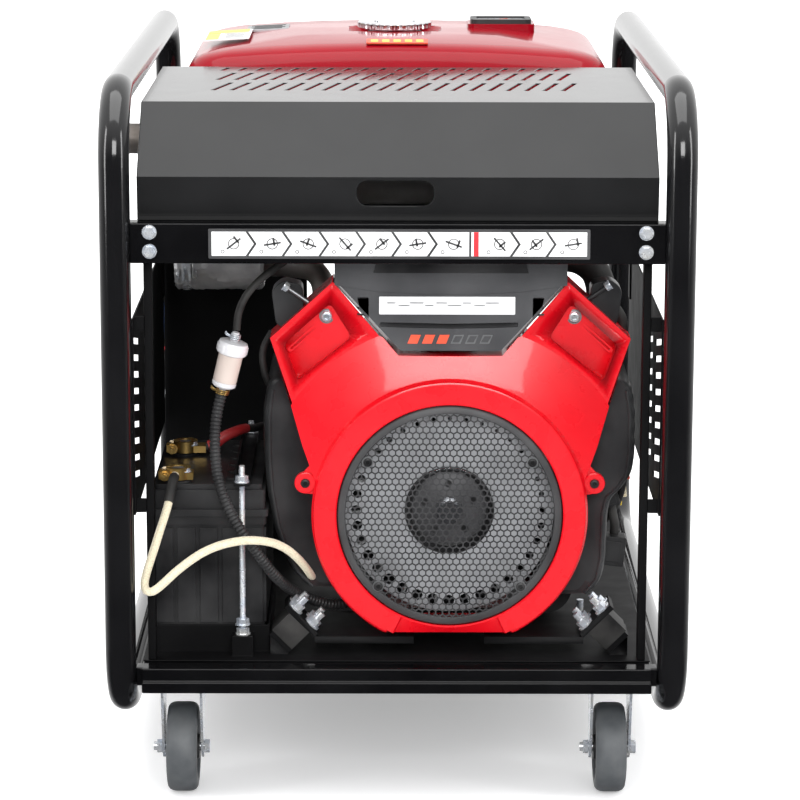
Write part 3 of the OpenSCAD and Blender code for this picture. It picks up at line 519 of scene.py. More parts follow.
def smooth_route(points, step):
    """World points (metres) of a Catmull-Rom curve through a route given in millimetres, one every step."""
    p = [Vector(q) * MM for q in points]
    p = [p[0] * 2 - p[1], *p, p[-1] * 2 - p[-2]]
    fine = []
    for i in range(1, len(p) - 2):
        a, b, c, d = p[i - 1:i + 3]
        for k in range(12):
            t = k / 12
            fine.append(0.5 * (2 * b + (c - a) * t + (2 * a - 5 * b + 4 * c - d) * t * t
                               + (3 * b - a - 3 * c + d) * t ** 3))
    fine.append(p[-2])
    out, left = [fine[0]], step
    for a, b in zip(fine, fine[1:]):
        while (b - a).length >= left:
            a = a + (b - a).normalized() * left
            out.append(a)
            left = step
        left -= (b - a).length
    out.append(fine[-1])
    return out


# ---------------------------------------------------------------- cords and hoses
NEGATIVE_ROUTE = [
    (-250, -388, 366), (-251, -397, 364), (-252, -407, 359), (-254, -417, 350), (-256, -426, 340),
    (-260, -434, 327), (-265, -440, 312), (-270, -444, 296), (-275, -447, 281), (-279, -449, 268),
    (-281, -452, 258), (-279, -457, 251), (-273, -460, 250), (-265, -461, 255), (-256, -460, 263),
    (-245, -458, 273), (-232, -456, 283), (-218, -453, 292), (-202, -450, 299), (-185, -446, 303),
    (-168, -440, 304), (-152, -434, 302), (-138, -425, 297), (-125, -414, 288), (-114, -403, 276),
    (-105, -393, 263), (-99, -381, 251), (-96, -366, 242), (-94, -347, 239), (-91, -328, 243),
    (-85, -312, 252), (-75, -302, 260), (-62, -300, 262)]
POSITIVE_ROUTE = [
    (-223, -237, 364), (-214, -237, 368), (-203, -235, 376), (-190, -228, 381), (-178, -214, 382),
    (-168, -198, 379), (-158, -181, 378), (-149, -164, 371), (-142, -149, 357), (-138, -138, 336),
    (-135, -129, 308), (-130, -121, 281), (-122, -114, 258), (-112, -108, 236), (-99, -103, 216),
    (-82, -99, 200), (-62, -97, 189), (-40, -96, 184), (-16, -96, 183), (8, -96, 183),
    (32, -96, 183), (56, -96, 183), (80, -96, 184), (104, -97, 187), (127, -100, 193),
    (148, -106, 202), (166, -116, 214), (180, -129, 228), (189, -145, 241), (192, -164, 250),
    (193, -184, 256), (193, -202, 258), (193, -220, 258)]
HOSE_ROUTE = [
    (-179, -395, 534), (-177, -394, 552), (-170, -390, 569), (-158, -384, 584), (-143, -376, 596),
    (-127, -365, 606), (-114, -351, 613), (-105, -334, 617), (-100, -314, 619), (-98, -292, 620),
    (-97, -268, 620), (-97, -244, 619), (-97, -220, 618), (-98, -196, 617), (-98, -172, 616),
    (-99, -148, 616), (-99, -124, 616), (-100, -100, 616), (-100, -76, 616), (-100, -52, 617),
    (-100, -28, 618), (-100, -4, 619), (-100, 20, 620), (-100, 44, 621), (-100, 66, 624),
    (-100, 86, 631), (-100, 101, 643), (-100, 108, 658), (-100, 110, 682)]
LOOM_ROUTE = [
    (-196, -399, 463), (-200, -400, 447), (-203, -402, 428), (-204, -404, 407), (-203, -406, 386),
    (-200, -409, 366), (-194, -413, 347), (-186, -416, 329), (-176, -418, 312), (-165, -416, 295),
    (-154, -411, 278), (-145, -404, 263), (-135, -393, 248), (-124, -376, 233), (-110, -359, 220),
    (-92, -347, 209), (-72, -337, 202), (-52, -328, 203), (-34, -322, 211), (-18, -320, 222)]
LEFT_PLUG_ROUTE = [
    (-87, -284, 472), (-87, -296, 473), (-84, -308, 478), (-76, -317, 486), (-64, -322, 494),
    (-49, -324, 499), (-33, -323, 500), (-17, -320, 498), (-2, -316, 494)]
RIGHT_PLUG_ROUTE = [
    (205, -260, 472), (205, -274, 473), (202, -290, 478), (194, -304, 486), (182, -314, 494),
    (167, -319, 499), (151, -320, 500), (135, -319, 498), (120, -316, 494)]


def length_of(points):
    return sum((Vector(b) - Vector(a)).length for a, b in zip(points, points[1:]))


def lay_cord(name, route, radius, look, slot, node, wave=0.0, pitch=0.005, step=0.004):
    """A cord along its route, smooth, or corrugated with that wave and pitch."""
    line = smooth_route(route, step)
    total = length_of(line)

    def corrugated(share):
        return radius - wave * (0.5 - 0.5 * math.cos(2 * math.pi * share * total / pitch))

    shape = Shape().tube(look, line, corrugated if wave else radius, 20)
    obj = shape.end(name, slot=slot, replaces=(node,), angle=60)


def make_cords():
    rows = (("negative_lead", NEGATIVE_ROUTE, 0.0047, CREAM_BRAID, "cream_sleeve", "negative_lead"),
            ("positive_lead", POSITIVE_ROUTE, 0.0047, BLACK_RUBBER, "red_rubber", "positive_lead"),
            ("fuel_hose", HOSE_ROUTE, 0.0042, BLACK_RUBBER, "black_rubber", "fuel_hose"),
            ("fuel_loom", LOOM_ROUTE, 0.0065, BLACK_PLASTIC, "black_plastic", "fuel_loom"),
            ("left_plug_lead", LEFT_PLUG_ROUTE, 0.0035, BLACK_RUBBER, "black_rubber", "plug_leads"),
            ("right_plug_lead", RIGHT_PLUG_ROUTE, 0.0035, BLACK_RUBBER, "black_rubber", "plug_leads"))
    for row in rows:
        if row[0] == "fuel_loom":
            lay_cord(*row, wave=0.0011, pitch=0.0044, step=0.0006)
        else:
            lay_cord(*row)
    # Shrink sleeves over the ends of the leads, and the red boot of the positive post
    negative = smooth_route(NEGATIVE_ROUTE, 0.004)
    sleeve = Shape().tube(BLACK_RUBBER, negative[1:12], 0.0056, 20)
    sleeve.tube(BLACK_RUBBER, negative[-9:-1], 0.0056, 20)
    sleeve.end("lead_sleeves", slot="black_rubber", angle=50)
    positive = smooth_route(POSITIVE_ROUTE, 0.004)
    boot = Shape().tube(RED_RUBBER, positive[1:16], lambda t: 0.0072 - 0.0016 * t, 20)
    boot.end("positive_boot", slot="red_rubber", angle=50)


# ---------------------------------------------------------------- engine front
RING_R = 153.0
SHOULDER_R = 216.0
WING_W = -14.0
CHAIN = [(165, 77), (201, 198), (131, 262), (58, 180)]
OUTLINE = (ring_points(155, 46, -61, 14) + CHAIN + mirrored(CHAIN) + ring_points(155, 46, 166, 241))
PROFILE = [(127, 1), (127, 10), (128.5, 12), (149.5, 12), (152.5, 10.8), (153.5, 7), (156, 4), (165, 1.8),
           (178, -2.2), (191, -6.2), (204, -10.2), (SHOULDER_R, WING_W)]


def reach(angle):
    """Distance from the crankshaft to the shroud's outline in that direction."""
    ray = Vector((math.cos(angle), math.sin(angle)))
    for i in range(len(OUTLINE)):
        a, b = Vector(OUTLINE[i - 1]), Vector(OUTLINE[i])
        edge = b - a
        cross = ray.x * edge.y - ray.y * edge.x
        if abs(cross) < 1e-9:
            continue
        far = (a.x * edge.y - a.y * edge.x) / cross
        share = (a.x * ray.y - a.y * ray.x) / cross
        if far > 0 and -1e-6 <= share <= 1 + 1e-6:
            return far
    return RING_R


def height_at(r):
    """Height of the shroud's face at radius r, by its profile outside the ring."""
    for (r0, w0), (r1, w1) in zip(PROFILE[5:], PROFILE[6:]):
        if r <= r1:
            return w0 + (w1 - w0) * (r - r0) / (r1 - r0)
    return WING_W


def make_fan_shroud():
    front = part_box("fan_shroud")[0].y + 12 * MM
    place = on_engine(front)
    shape = Shape()
    corner_angles = [math.atan2(y, x) % (2 * math.pi) for x, y in OUTLINE]
    angles = sorted(set([round(math.radians(a * 0.9), 6) for a in range(400)]
                        + [round(a, 6) for a in corner_angles]))
    rings = [[] for _ in PROFILE]
    skirt = [[], [], []]
    for angle in angles:
        limit = reach(angle)
        edge = min(limit, SHOULDER_R)
        c, s = math.cos(angle), math.sin(angle)
        for ring, (r, w) in zip(rings, PROFILE):
            if r > edge:
                r = edge
                w = height_at(edge) if edge > 153.5 else 7
            ring.append(place @ Vector((r * c, r * s, w)))
        last = height_at(limit) if limit > 153.5 else 7
        for ring, (share, w) in zip(skirt, ((1, last), (1, -67), (0.985, -67))):
            ring.append(place @ Vector((limit * share * c, limit * share * s, w)))
    shape.strips(SHROUD_RED, rings, ends=False)
    shape.strips(SHROUD_RED, skirt, ends=False)
    # The two wings, each with its slanted pocket
    recess = rounded([(134, 238), (186, 191), (171, 149), (110, 199)], 7)
    for flip in (1, -1):
        low = next(a for a in angles if reach(a) > SHOULDER_R + 0.01)
        high = next(a for a in reversed(angles) if reach(a) > SHOULDER_R + 0.01 and a < math.pi / 2)
        edge = [(201, 198), (131, 262)]
        arc = ring_points(SHOULDER_R, 40, math.degrees(high), math.degrees(low))
        wing = arc + edge
        hole = recess
        if flip < 0:
            wing, hole = mirrored(wing), mirrored(hole)
        shape.slab(SHROUD_RED, place, wing, WING_W, WING_W - 2.4, holes=(hole,))
        walls = []
        for bottom in (False, True):
            ring = []
            for x, y in hole:
                u = abs(x)
                depth = 3 + 15 * min(1, max(0, ((u - 110) + (199 - y) * 0.35) / 78)) if bottom else 0
                ring.append(place @ Vector((x, y, WING_W - depth)))
            walls.append(ring)
        shape.strips(SHROUD_RED, walls, ends=False)
        shape.face([shape.bm.verts.new(p) for p in walls[1]], 0)
        # Embossed slot along the upper edge of the pocket
        middle = (flip * 163, 198)
        bar = [(-24, -3), (24, -3), (24, 3), (-24, 3)]
        tilt = Matrix.Rotation(math.radians(-42 * flip), 3, "Z")
        bar_place = moved(place, *middle, WING_W - 13) @ tilt.to_4x4()
        opening = [(x * 0.86, y * 0.4) for x, y in bar]
        shape.slab(SHROUD_RED, bar_place, rounded(bar, 3), 0, 3.5, holes=(rounded(opening, 1.1),))
        # Ear that takes a side screw
        shape.turned(SHROUD_RED, moved(on_engine(front), flip * 162, 36, -6),
                     [(3, 0), (11, 0), (12, 1), (12, 8), (11, 9), (5, 9), (4.5, 8), (3, 8)], 32, closed=True)
        shape.slab(SHROUD_RED, moved(on_engine(front), 0, 0, -6),
                   [(flip * 148, 22), (flip * 164, 24), (flip * 164, 48), (flip * 151, 62)], 0, 6)
    shape.end("fan_shroud_skin", slot="shroud_red", replaces=("fan_shroud",), edge=0.9, angle=32)
    screws = Shape()
    for flip in (1, -1):
        screws.screw(ZINC, moved(place, flip * 138, 222, WING_W - 6), 6.2, 5)
        screws.turned(DULL_STEEL, moved(place, flip * 138, 222, WING_W - 7),
                      [(0, 0), (8.4, 0), (8.4, 1.2), (0, 1.2)], 28)
        screws.screw(BLACK_PLASTIC, moved(place, flip * 162, 36, 2), 5.2, 4.5)
    screws.end("shroud_screws", slot="zinc", angle=40)


def make_grille():
    """Honeycomb sheet on a flat rim, with its four screws."""
    place = on_engine(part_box("fan_grille")[0].y)
    pitch, mesh_r, rim_in, rim_out = 7.6, 119.5, 117.0, 125.9
    shape = Shape()
    # The honeycomb takes the darker copy of the grille's grey, which is painted shade
    index = shape.slot(MESH_GREY_SHADED)
    rows = int(mesh_r / (pitch * 0.866)) + 1
    corner, hole = pitch / math.sqrt(3), 0.80
    found = {}

    def vert(x, y, z):
        key = (round(x, 2), round(y, 2), z)
        if key not in found:
            found[key] = shape.bm.verts.new(place @ Vector((x, y, z)))
        return found[key]

    for row in range(-rows, rows + 1):
        for col in range(-rows, rows + 1):
            x = (col + (row % 2) * 0.5) * pitch
            y = row * pitch * 0.866
            if math.hypot(x, y) > mesh_r:
                continue
            outer = [(x + corner * math.sin(math.radians(a)), y + corner * math.cos(math.radians(a)))
                     for a in range(0, 360, 60)]
            inner = [(x + (px - x) * hole, y + (py - y) * hole) for px, py in outer]
            for i in range(6):
                quad = [outer[i - 1], outer[i], inner[i], inner[i - 1]]
                shape.face([vert(px, py, -2) for px, py in quad], index)
                shape.face([vert(px, py, -3) for px, py in quad], index)
                wall = [(*inner[i - 1], -2), (*inner[i], -2), (*inner[i], -3), (*inner[i - 1], -3)]
                shape.face([vert(*p) for p in wall], index)
    shape.turned(GRILLE_GREY, place, [(rim_in, -2.6), (rim_in + 1, -1.2), (rim_out - 1.6, -1.2), (rim_out, -3),
                                      (rim_out, -13), (rim_out - 4, -13), (rim_out - 4, -3.4), (rim_in, -3.4)],
                 120, closed=True)
    shape.end("intake_grille", slot="grille_grey", replaces=("fan_grille",), angle=50, weld=False)
    screws = Shape()
    for u, v in ((92, 62), (-92, 62), (80, -81), (-80, -81)):
        spot = moved(place, u, v, -2)
        screws.turned(DULL_STEEL, spot, [(0, 0), (6.4, 0), (6.4, 1.0), (0, 1.0)], 28)
        screws.screw(BLACK_PLASTIC, spot, 5.0, 3.8)
    screws.end("grille_screws", slot="black_plastic", angle=40)


def make_flywheel():
    """Light screen plate with a ring of blade openings, a dark hub cup and the crank nut."""
    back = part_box("flywheel_fan")[1].y
    place = on_engine(back)
    shape = Shape()
    holes = [ring_points(4.6 - 2.2 * math.sin(a + 0.4), 8, middle=(105.5 * math.cos(a), 105.5 * math.sin(a)))
             for a in [math.radians(k * 360 / 36) for k in range(36)]]
    shape.slab(PLATE_GREY, place, ring_points(118, 96), 36, 39, holes=[ring_points(49, 48), *holes])
    shape.turned(BLACK_PLASTIC, place, [(49, 39), (50.5, 41), (48.5, 41.6), (46, 37), (44, 31), (42, 30)], 72)
    shape.turned(HUB_GREY, place, [(42, 30), (36, 33), (20, 34.5), (14, 36), (14, 38), (0, 38)], 72)
    # Thin chrome arc on the top of the hub ring only: a painted highlight where the overhead light catches the ring
    painted_highlight_arc = [place @ Vector((u, v, 41.4)) for u, v in ring_points(48.5, 24, 62, 118)]
    shape.tube(CHROME, painted_highlight_arc, 0.0009, 10)
    shape.turned(BLACK_PLASTIC, place, [(118, 36), (118, 0), (20, 0)], 72)
    for k in range(18):
        turn = spun(place, k * 20)
        shape.slab(CAST, turn, [(80, -1.4), (111, 3.2), (111, 5.6), (80, 1.4)], 4, 35)
    for k in range(5):
        spot = moved(spun(place, k * 72 + 20), 29, 0, 33.5)
        shape.turned(BLACK_PLASTIC, spot, [(0, 0), (4, 0), (4, 1.2), (0, 1.2)], 20)
    shape.bolt(SHAFT_STEEL, moved(place, 0, 0, 36), 9, 3, 4.5)
    shape.end("flywheel_screen", body="crank", slot="cast_alloy", replaces=("flywheel_fan",), angle=35)


def make_intake_panel():
    """Dark cover in the notch: a lipped lid over a face with louvres, a slot and a blank plate."""
    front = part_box("intake_panel")[0].y
    place = on_engine(front)
    face = rounded([(-56, 186), (56, 186), (127, 264), (127, 266), (0, 251), (-127, 266), (-127, 264)], 3)
    slot = rounded([(-79, 213), (-40, 211.5), (0, 211), (40, 211.5), (75, 213), (75, 218), (0, 216.5),
                    (-79, 218)], 1.5)
    louvre = rounded([(91, 221), (101, 232), (104, 246), (91, 246)], 2)
    shape = Shape()
    shape.slab(DARK_GREY, place, face, -4, 0, holes=(slot, louvre, mirrored(louvre)))
    shape.slab(DARK_GREY, place, [(-56, 186), (56, 186), (127, 264), (-127, 264)], -56, -12)
    # Lid with its curved lip, and the stepped top above it
    lip = [(-129, 260), (-80, 253), (-30, 250.4), (30, 250.4), (80, 253), (129, 260), (129, 296), (-129, 296)]
    shape.slab(DARK_GREY, place, lip, -50, 2.5)
    shape.slab(BLACK_PLASTIC, place, [(-86, 274), (86, 274), (82, 290), (-82, 290)], 2.0, 3.2)
    for flip in (1, -1):
        for k in range(3):
            shape.slab(BLACK_PLASTIC, place, [(flip * 91, 224 + 7 * k), (flip * 104, 226 + 7 * k),
                                              (flip * 104, 227.4 + 7 * k), (flip * 91, 225.4 + 7 * k)], -6, -2)
    shape.end("intake_cover", slot="dark_grey_plastic", replaces=("intake_panel",), edge=0.8, angle=30)
    plate = Shape()
    plate.slab(WHITE_PLASTIC, place, rect(151, 20, 1, (-4, 237)), 0, 0.5)
    for k in range(9):
        w = 9 + 3 * (k % 3)
        plate.slab(DULL_STEEL, place, rect(w, 1.1, middle=(-66 + 14 * k, 240 - 3 * (k % 2))), 0.5, 0.6)
    # Plain slanted bars, three filled and three outlined
    for k in range(6):
        bar = [(-48 + 16 * k, 194), (-37 + 16 * k, 194), (-33 + 16 * k, 204), (-44 + 16 * k, 204)]
        inner = [(x + (1.6 if i in (0, 3) else -1.6), y + (1.4 if i < 2 else -1.4)) for i, (x, y) in enumerate(bar)]
        plate.slab(BAR_ORANGE if k < 3 else DULL_STEEL, place, bar, 0, 0.4, holes=() if k < 3 else (inner,))
    plate.end("intake_plate", slot="white_plastic", angle=40)


SHROUD_SIDE = [(196, 150), (206, 138), (210, 110), (210, 60), (207, 20), (200, -20), (189, -52), (176, -76),
               (160, -92)]
RIGHT_SHROUD_SIDE = [(196, 150), (206, 138), (210, 110), (210, 62), (207, 40), (197, 24), (184, 12), (180, -6),
                     (179, -58), (174, -84), (160, -100)]


def make_cylinder_shrouds():
    """Bulged black air shrouds beside the fan shroud."""
    low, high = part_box("cylinder_shrouds")
    depth = (high.y - low.y) / MM
    for flip, name, line in ((1, "right", RIGHT_SHROUD_SIDE), (-1, "left", SHROUD_SIDE)):
        side = rounded([(120, 150)] + line + [(110, line[-1][1])], 8, 6)
        rings = []
        for share, w in ((0.70, -12), (0.86, -7), (0.94, -6), (0.975, -9), (0.993, -16), (1.0, -28), (1.0, -depth)):
            ring = []
            for u, v in side:
                u2 = 120 + (u - 120) * share if u > 120 else u
                v2 = v * (0.9 + 0.1 * share)
                if w < -20 and u < 150:
                    u2 = max(u2, 150)
                ring.append(on_engine(low.y) @ Vector((flip * u2, v2, w)))
            rings.append(ring)
        shape = Shape().strips(COVER_PLASTIC, rings)
        # Raised rib along the outer edge
        rib = [on_engine(low.y) @ Vector((flip * u * 0.965, v * 0.99, -6)) for u, v in line[1:]]
        shape.tube(COVER_PLASTIC, rib, 0.0022, 10)
        shape.end("cylinder_shroud_" + name, slot="cover_paint",
                  replaces=("cylinder_shrouds",) if flip > 0 else (), edge=0.8)


def bank_place(flip, along):
    """On a cylinder's axis, that many millimetres from the crankshaft, local z pointing outwards."""
    y = centre("cylinders").y + flip * 12 * MM
    lean = Matrix.Rotation(math.radians(45 * flip), 3, "Y")
    return moved(at(crank.x, y, crank.z, lean), 0, 0, along)


def make_heads():
    """Finned heads with ribbed valve covers and cover bolts."""
    shape = Shape()
    covers = Shape()
    for flip in (1, -1):
        base = bank_place(flip, 0)
        shape.slab(CAST, base, rect(84, 92, 12), 190, 224)
        for k in range(5):
            shape.slab(CAST, base, rect(96, 104, 12), 192 + 7 * k, 195 + 7 * k)
        for w, r, bottom, top in ((78, 14, 224, 231), (70, 16, 231, 250), (60, 16, 250, 258)):
            covers.slab(BLACK_PLASTIC, base, rect(w, w + 18, r), bottom, top)
        for k in range(4):
            covers.slab(BLACK_PLASTIC, base, rect(5, 70, 2, (-20 + 13.5 * k, 0)), 258, 262)
        for x in (-31, 31):
            for y in (-40, 40):
                covers.bolt(ZINC, moved(base, x, y, 231), 5.5, 6, 7)
    shape.end("finned_heads", slot="cast_alloy", replaces=("cylinder_heads",), edge=0.6)
    covers.end("valve_covers", slot="guard_paint", edge=1.6)


# ---------------------------------------------------------------- tank
WORLD = at(0, 0, 0)


def tank_outline(inset, corner=46.0, n=9):
    """Plan of the tank at that inset, in millimetres, always with the same number of points."""
    half_x, half_y = tank_half.x - inset, tank_half.y - inset
    r = max(corner - inset * 0.5, 12)
    points = []
    for sx, sy, start in ((1, -1, -90), (1, 1, 0), (-1, 1, 90), (-1, -1, 180)):
        middle = (tank_middle.x + sx * (half_x - r), tank_middle.y + sy * (half_y - r))
        points += ring_points(r, n, start, start + 90, middle)
    fine = []
    for i, a in enumerate(points):
        b = points[(i + 1) % len(points)]
        steps = max(1, 8 if (i + 1) % n == 0 else 1)
        fine += [(a[0] + (b[0] - a[0]) * k / steps, a[1] + (b[1] - a[1]) * k / steps) for k in range(steps)]
    return fine


def end_drop(x):
    return abs((x - tank_middle.x) / tank_half.x) ** 2.4


def crown(x, y):
    """Height of the tank's top: it falls towards both ends and towards the back."""
    back = max(0.0, (y - tank_middle.y) / tank_half.y)
    return tank_high - 9 * end_drop(x) - 10 * back ** 1.5


def make_tank():
    """Upper and lower pressings with a seam flange, an arched front crease and a dished filler."""
    cap = centre("fuel_cap") / MM
    shape = Shape()
    lower = [(tank_low, 30), (tank_low + 2, 14), (tank_low + 10, 9), (733, 8), (734, 0), (737, 0), (738, 3.5)]
    upper = [(741, 3.2), (757, 3.4), (775, 8.5), (788, 14), (796, 20), (801, 27), (804.5, 38), (806.5, 52)]
    rings = []
    for z, inset in lower + upper:
        ring = []
        for x, y in tank_outline(inset):
            fall = 15 * end_drop(x) * max(0.0, min(1.0, (z - 750) / 56)) ** 1.2
            ring.append(WORLD @ Vector((x, y, z - fall)))
        rings.append(ring)
    crease = [p / MM for p in rings[-1]]
    for share in (0.8, 0.6, 0.42, 0.27):
        ring = []
        for p in crease:
            x, y = cap.x + (p.x - cap.x) * share, cap.y + (p.y - cap.y) * share
            ring.append(WORLD @ Vector((x, y, p.z + (crown(x, y) - p.z) * min(1.0, (1 - share) * 3))))
        rings.append(ring)
    for r, z in ((66, tank_high - 0.6), (62, tank_high - 1.6), (56, tank_high - 6.5), (29.3, tank_high - 6.5),
                 (29.3, tank_high - 13)):
        ring = []
        for p in crease:
            a = math.atan2(p.y - cap.y, p.x - cap.x)
            ring.append(WORLD @ Vector((cap.x + r * math.cos(a), cap.y + r * math.sin(a), z)))
        rings.append(ring)
    shape.strips(TANK_RED, rings, ends=False)
    shape.face([shape.bm.verts.new(p) for p in reversed(rings[0])], 0)
    gauge = centre("fuel_gauge") / MM
    shape.slab(TANK_RED, WORLD, rect(86, 62, 10, (gauge.x, gauge.y)), tank_high - 14, tank_high + 4)
    shape.end("tank_skin", slot="tank_paint", replaces=("tank_upper_shell", "tank_lower_shell"), edge=0.8, angle=32)

    marks = Shape()
    warning = at(-0.214, 0.190, 0.8035, Matrix.Rotation(math.radians(-3.5), 3, "Y"))
    marks.slab(LABEL_WHITE, warning, rect(58, 118, 3), 0, 1.4)
    marks.slab(YELLOW_PLASTIC, warning, rect(52, 34, 2, (0, 38)), 1.4, 1.8)
    marks.slab(YELLOW_PLASTIC, warning, rect(16, 72, 2, (-18, -18)), 1.4, 1.8)
    for k in range(5):
        marks.slab(GRILLE_GREY, warning, rect(28 - 6 * (k % 2), 3, 0, (9, 10 - 13 * k)), 1.4, 1.7)
    stripe = at(0.0, 0.079, (tank_high - 3.6) * MM, Matrix.Rotation(math.radians(4.5), 3, "X"))
    marks.slab(BAR_ORANGE, stripe, rect(76, 28, 3), 0.4, 2.2)
    for k in range(5):
        marks.slab(YELLOW_PLASTIC, stripe, rect(9, 16, 1, (-28 + 14 * k, 0)), 2.2, 2.5)
    plate = at(-0.166, 0.280, (tank_high - 6.5) * MM, Matrix.Rotation(math.radians(-3), 3, "Y"))
    marks.slab(DULL_STEEL, plate, rect(54, 62, 3), 0, 2.4)
    for k in range(4):
        marks.slab(GRILLE_GREY, plate, rect(44 - 8 * (k % 2), 4, 0, (0, 20 - 13 * k)), 2.4, 2.9)
    marks.end("tank_labels", slot="white_plastic", angle=40)


def make_gauge():
    """Fuel gauge: black bezel, pale dial with ticks and a red needle."""
    low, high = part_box("fuel_gauge")
    middle = (low + high) / 2
    place = at(middle.x, middle.y, low.z)
    shape = Shape()
    shape.slab(BLACK_PLASTIC, place, rect(78, 54, 9), 0, 5.6, holes=(rect(62, 36, 5),))
    shape.slab(FILTER_WHITE, place, rect(63, 37, 5), 0.5, 3.2)
    for k in range(7):
        shape.slab(BLACK_PLASTIC, place, rect(1.6, 7, 0, (-24 + 8 * k, 8)), 3.2, 3.5)
    shape.slab(BAR_ORANGE, place, [(-16, -12), (-13, -12), (10, 12), (9, 13)], 3.4, 3.8)
    shape.end("gauge_face", slot="black_plastic", replaces=("fuel_gauge",), edge=0.5)


def make_fuel_cap():
    """Chromed cap with a fluted rim and a dished top with a grip bar."""
    low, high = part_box("fuel_cap")
    height = (high.z - low.z) / MM
    place = at((low.x + high.x) / 2, (low.y + high.y) / 2, low.z)
    shape = Shape()
    rim = []
    for k in range(180):
        r = 46.4 + 0.9 * math.cos(k * math.pi / 3)
        a = math.radians(2 * k)
        rim.append((r * math.cos(a), r * math.sin(a)))
    shape.slab(CHROME, place, rim, 0, height - 2.6, holes=(ring_points(40, 60),))
    shape.turned(CHROME, place, [(40, height - 4.4), (46.2, height - 2.7), (45, height - 0.9), (41, height - 0.2),
                                 (36, height - 0.6), (30, height - 2), (0, height - 2)], 96)
    shape.turned(CHROME, place, [(0, height - 4.6), (40, height - 4.6)], 60)
    shape.slab(CHROME, place, rect(52, 13, 6), height - 2.4, height - 0.2)
    shape.end("fuel_cap_skin", body="cap", slot="chrome", replaces=("fuel_cap",), edge=0.4, angle=38)


# ---------------------------------------------------------------- label strip and cover
def make_label_strip():
    """Plain pictogram strip on the front cross bar: white fields between slanting dividers."""
    low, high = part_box("cross_bars")
    place = at(0.0015, low.y, (low.z + high.z) / 2, TO_VIEWER)
    shape = Shape()
    shape.slab(GRILLE_GREY, place, rect(415, 33, 1.5), 0, 0.35)
    shape.slab(LABEL_WHITE, place, rect(408, 26.5, 0.5), 0.35, 0.55)
    for x in (-161, -122, -82, -42, -3, 36, 126, 165):
        shape.slab(GRILLE_GREY, place, [(x - 6, -13.2), (x - 3, -13.2), (x + 6, 0), (x - 3, 13.2), (x - 6, 13.2),
                                        (x + 3, 0)], 0.55, 0.75)
    shape.slab(GRILLE_GREY, place, rect(2.4, 26.4, 0, (77, 0)), 0.55, 0.75)
    shape.slab(LABEL_RED, place, rect(5.4, 26.4, 0, (83.5, 0)), 0.55, 0.75)
    for i, x in enumerate((-183, -141, -102, -62, -22, 17, 56, 106, 146, 186)):
        turn = spun(moved(place, x + 3, 0, 0), 38 - 29 * (i % 4))
        shape.slab(GRILLE_GREY, turn, ring_points(6.2, 20), 0.55, 0.7, holes=(ring_points(5.2, 20),))
        shape.slab(GRILLE_GREY, turn, rect(19, 2.0, 0.8), 0.7, 0.8)
        shape.slab(GRILLE_GREY, turn, rect(2.2, 9, 0.8, (5 - 3 * (i % 3), 2)), 0.7, 0.8)
        dot = moved(place, x - 9, -8.6, 0)
        shape.slab(GRILLE_GREY, dot, ring_points(2.1, 14), 0.55, 0.7, holes=(ring_points(1.3, 14),))
    shape.end("pictogram_strip", slot="white_plastic", angle=40)


def make_cover_details():
    """Fixing screws in the two sides of the muffler cover."""
    low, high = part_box("muffler_cover")
    shape = Shape()
    for flip in (1, -1):
        side = TO_RIGHT if flip > 0 else TO_LEFT
        x = high.x if flip > 0 else low.x
        for y in (-0.36, -0.05):
            shape.screw(ZINC, at(x, y, low.z + 0.016, side), 6, 3)
    shape.end("cover_screws", slot="zinc", angle=40)


# ---------------------------------------------------------------- battery
def make_battery():
    low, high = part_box("battery")
    x0, y0, z0 = low.x / MM + 3, low.y / MM + 3, low.z / MM
    w, l = (high.x - low.x) / MM - 6, (high.y - low.y) / MM - 6
    flange = z0 + 136
    top = z0 + 172
    mx, my = x0 + w / 2, y0 + l / 2
    shape = Shape()
    shape.slab(BATTERY_BLACK, WORLD, rect(w - 3, l - 3, 5, (mx, my)), z0, flange)
    for k in range(5):
        x = x0 + 14 + k * (w - 28) / 4
        shape.slab(BATTERY_BLACK, WORLD, rect(w / 5 - 5, l + 0.6, 1.2, (x, my)), z0 + 12, flange - 14)
    for k in range(9):
        y = y0 + 14 + k * (l - 28) / 8
        shape.slab(BATTERY_BLACK, WORLD, rect(w + 0.4, l / 9 - 5, 1.2, (mx, y)), z0 + 12, flange - 14)
    for more_w, more_l, r, bottom, lid in ((1, 1, 5, flange - 10, flange), (6, 6, 6, flange, flange + 8),
                                           (-1, -1, 6, flange + 8, top - 6), (-8, -6, 6, top - 6, top)):
        shape.slab(BATTERY_BLACK, WORLD, rect(w + more_w, l + more_l, r, (mx, my)), bottom, lid)
    shape.slab(BATTERY_BLACK, WORLD, rect(18, l - 40, 5, (x0 + w - 37, my)), top, top + 1.6)
    for k in range(6):
        spot = at((x0 + w - 37) * MM, (y0 + 28 + k * 34) * MM, top * MM)
        shape.turned(BATTERY_BLACK, spot, [(0, 0), (9, 0), (9, 2.2), (8.2, 3), (0, 3)], 28)
        shape.slab(BATTERY_BLACK, spot, rect(12, 2, 0.8), 2.6, 3.0)
    for y in (18, 155):
        spot = at((x0 + 30) * MM, (y0 + y) * MM, top * MM)
        shape.turned(BATTERY_BLACK, spot, [(0, 0), (15, 0), (15, 2.6), (10, 3.4), (0, 3.4)], 36)
        shape.turned(LEAD_GREY, spot, [(0, 3), (8, 3), (7.6, 15.6), (6.8, 16), (0, 16)], 32)
    shape.end("battery_case", slot="battery_case", replaces=("battery",), edge=0.8, angle=32)


def threaded(shape, place, r, low, high, pitch=1.4):
    """A threaded rod along local z."""
    profile = [(0, low)]
    z = low
    while z < high:
        profile += [(r * 0.86, z), (r, z + pitch * 0.5)]
        z += pitch
    profile += [(r * 0.86, high), (0, high)]
    shape.turned(ZINC, place, profile, 16)


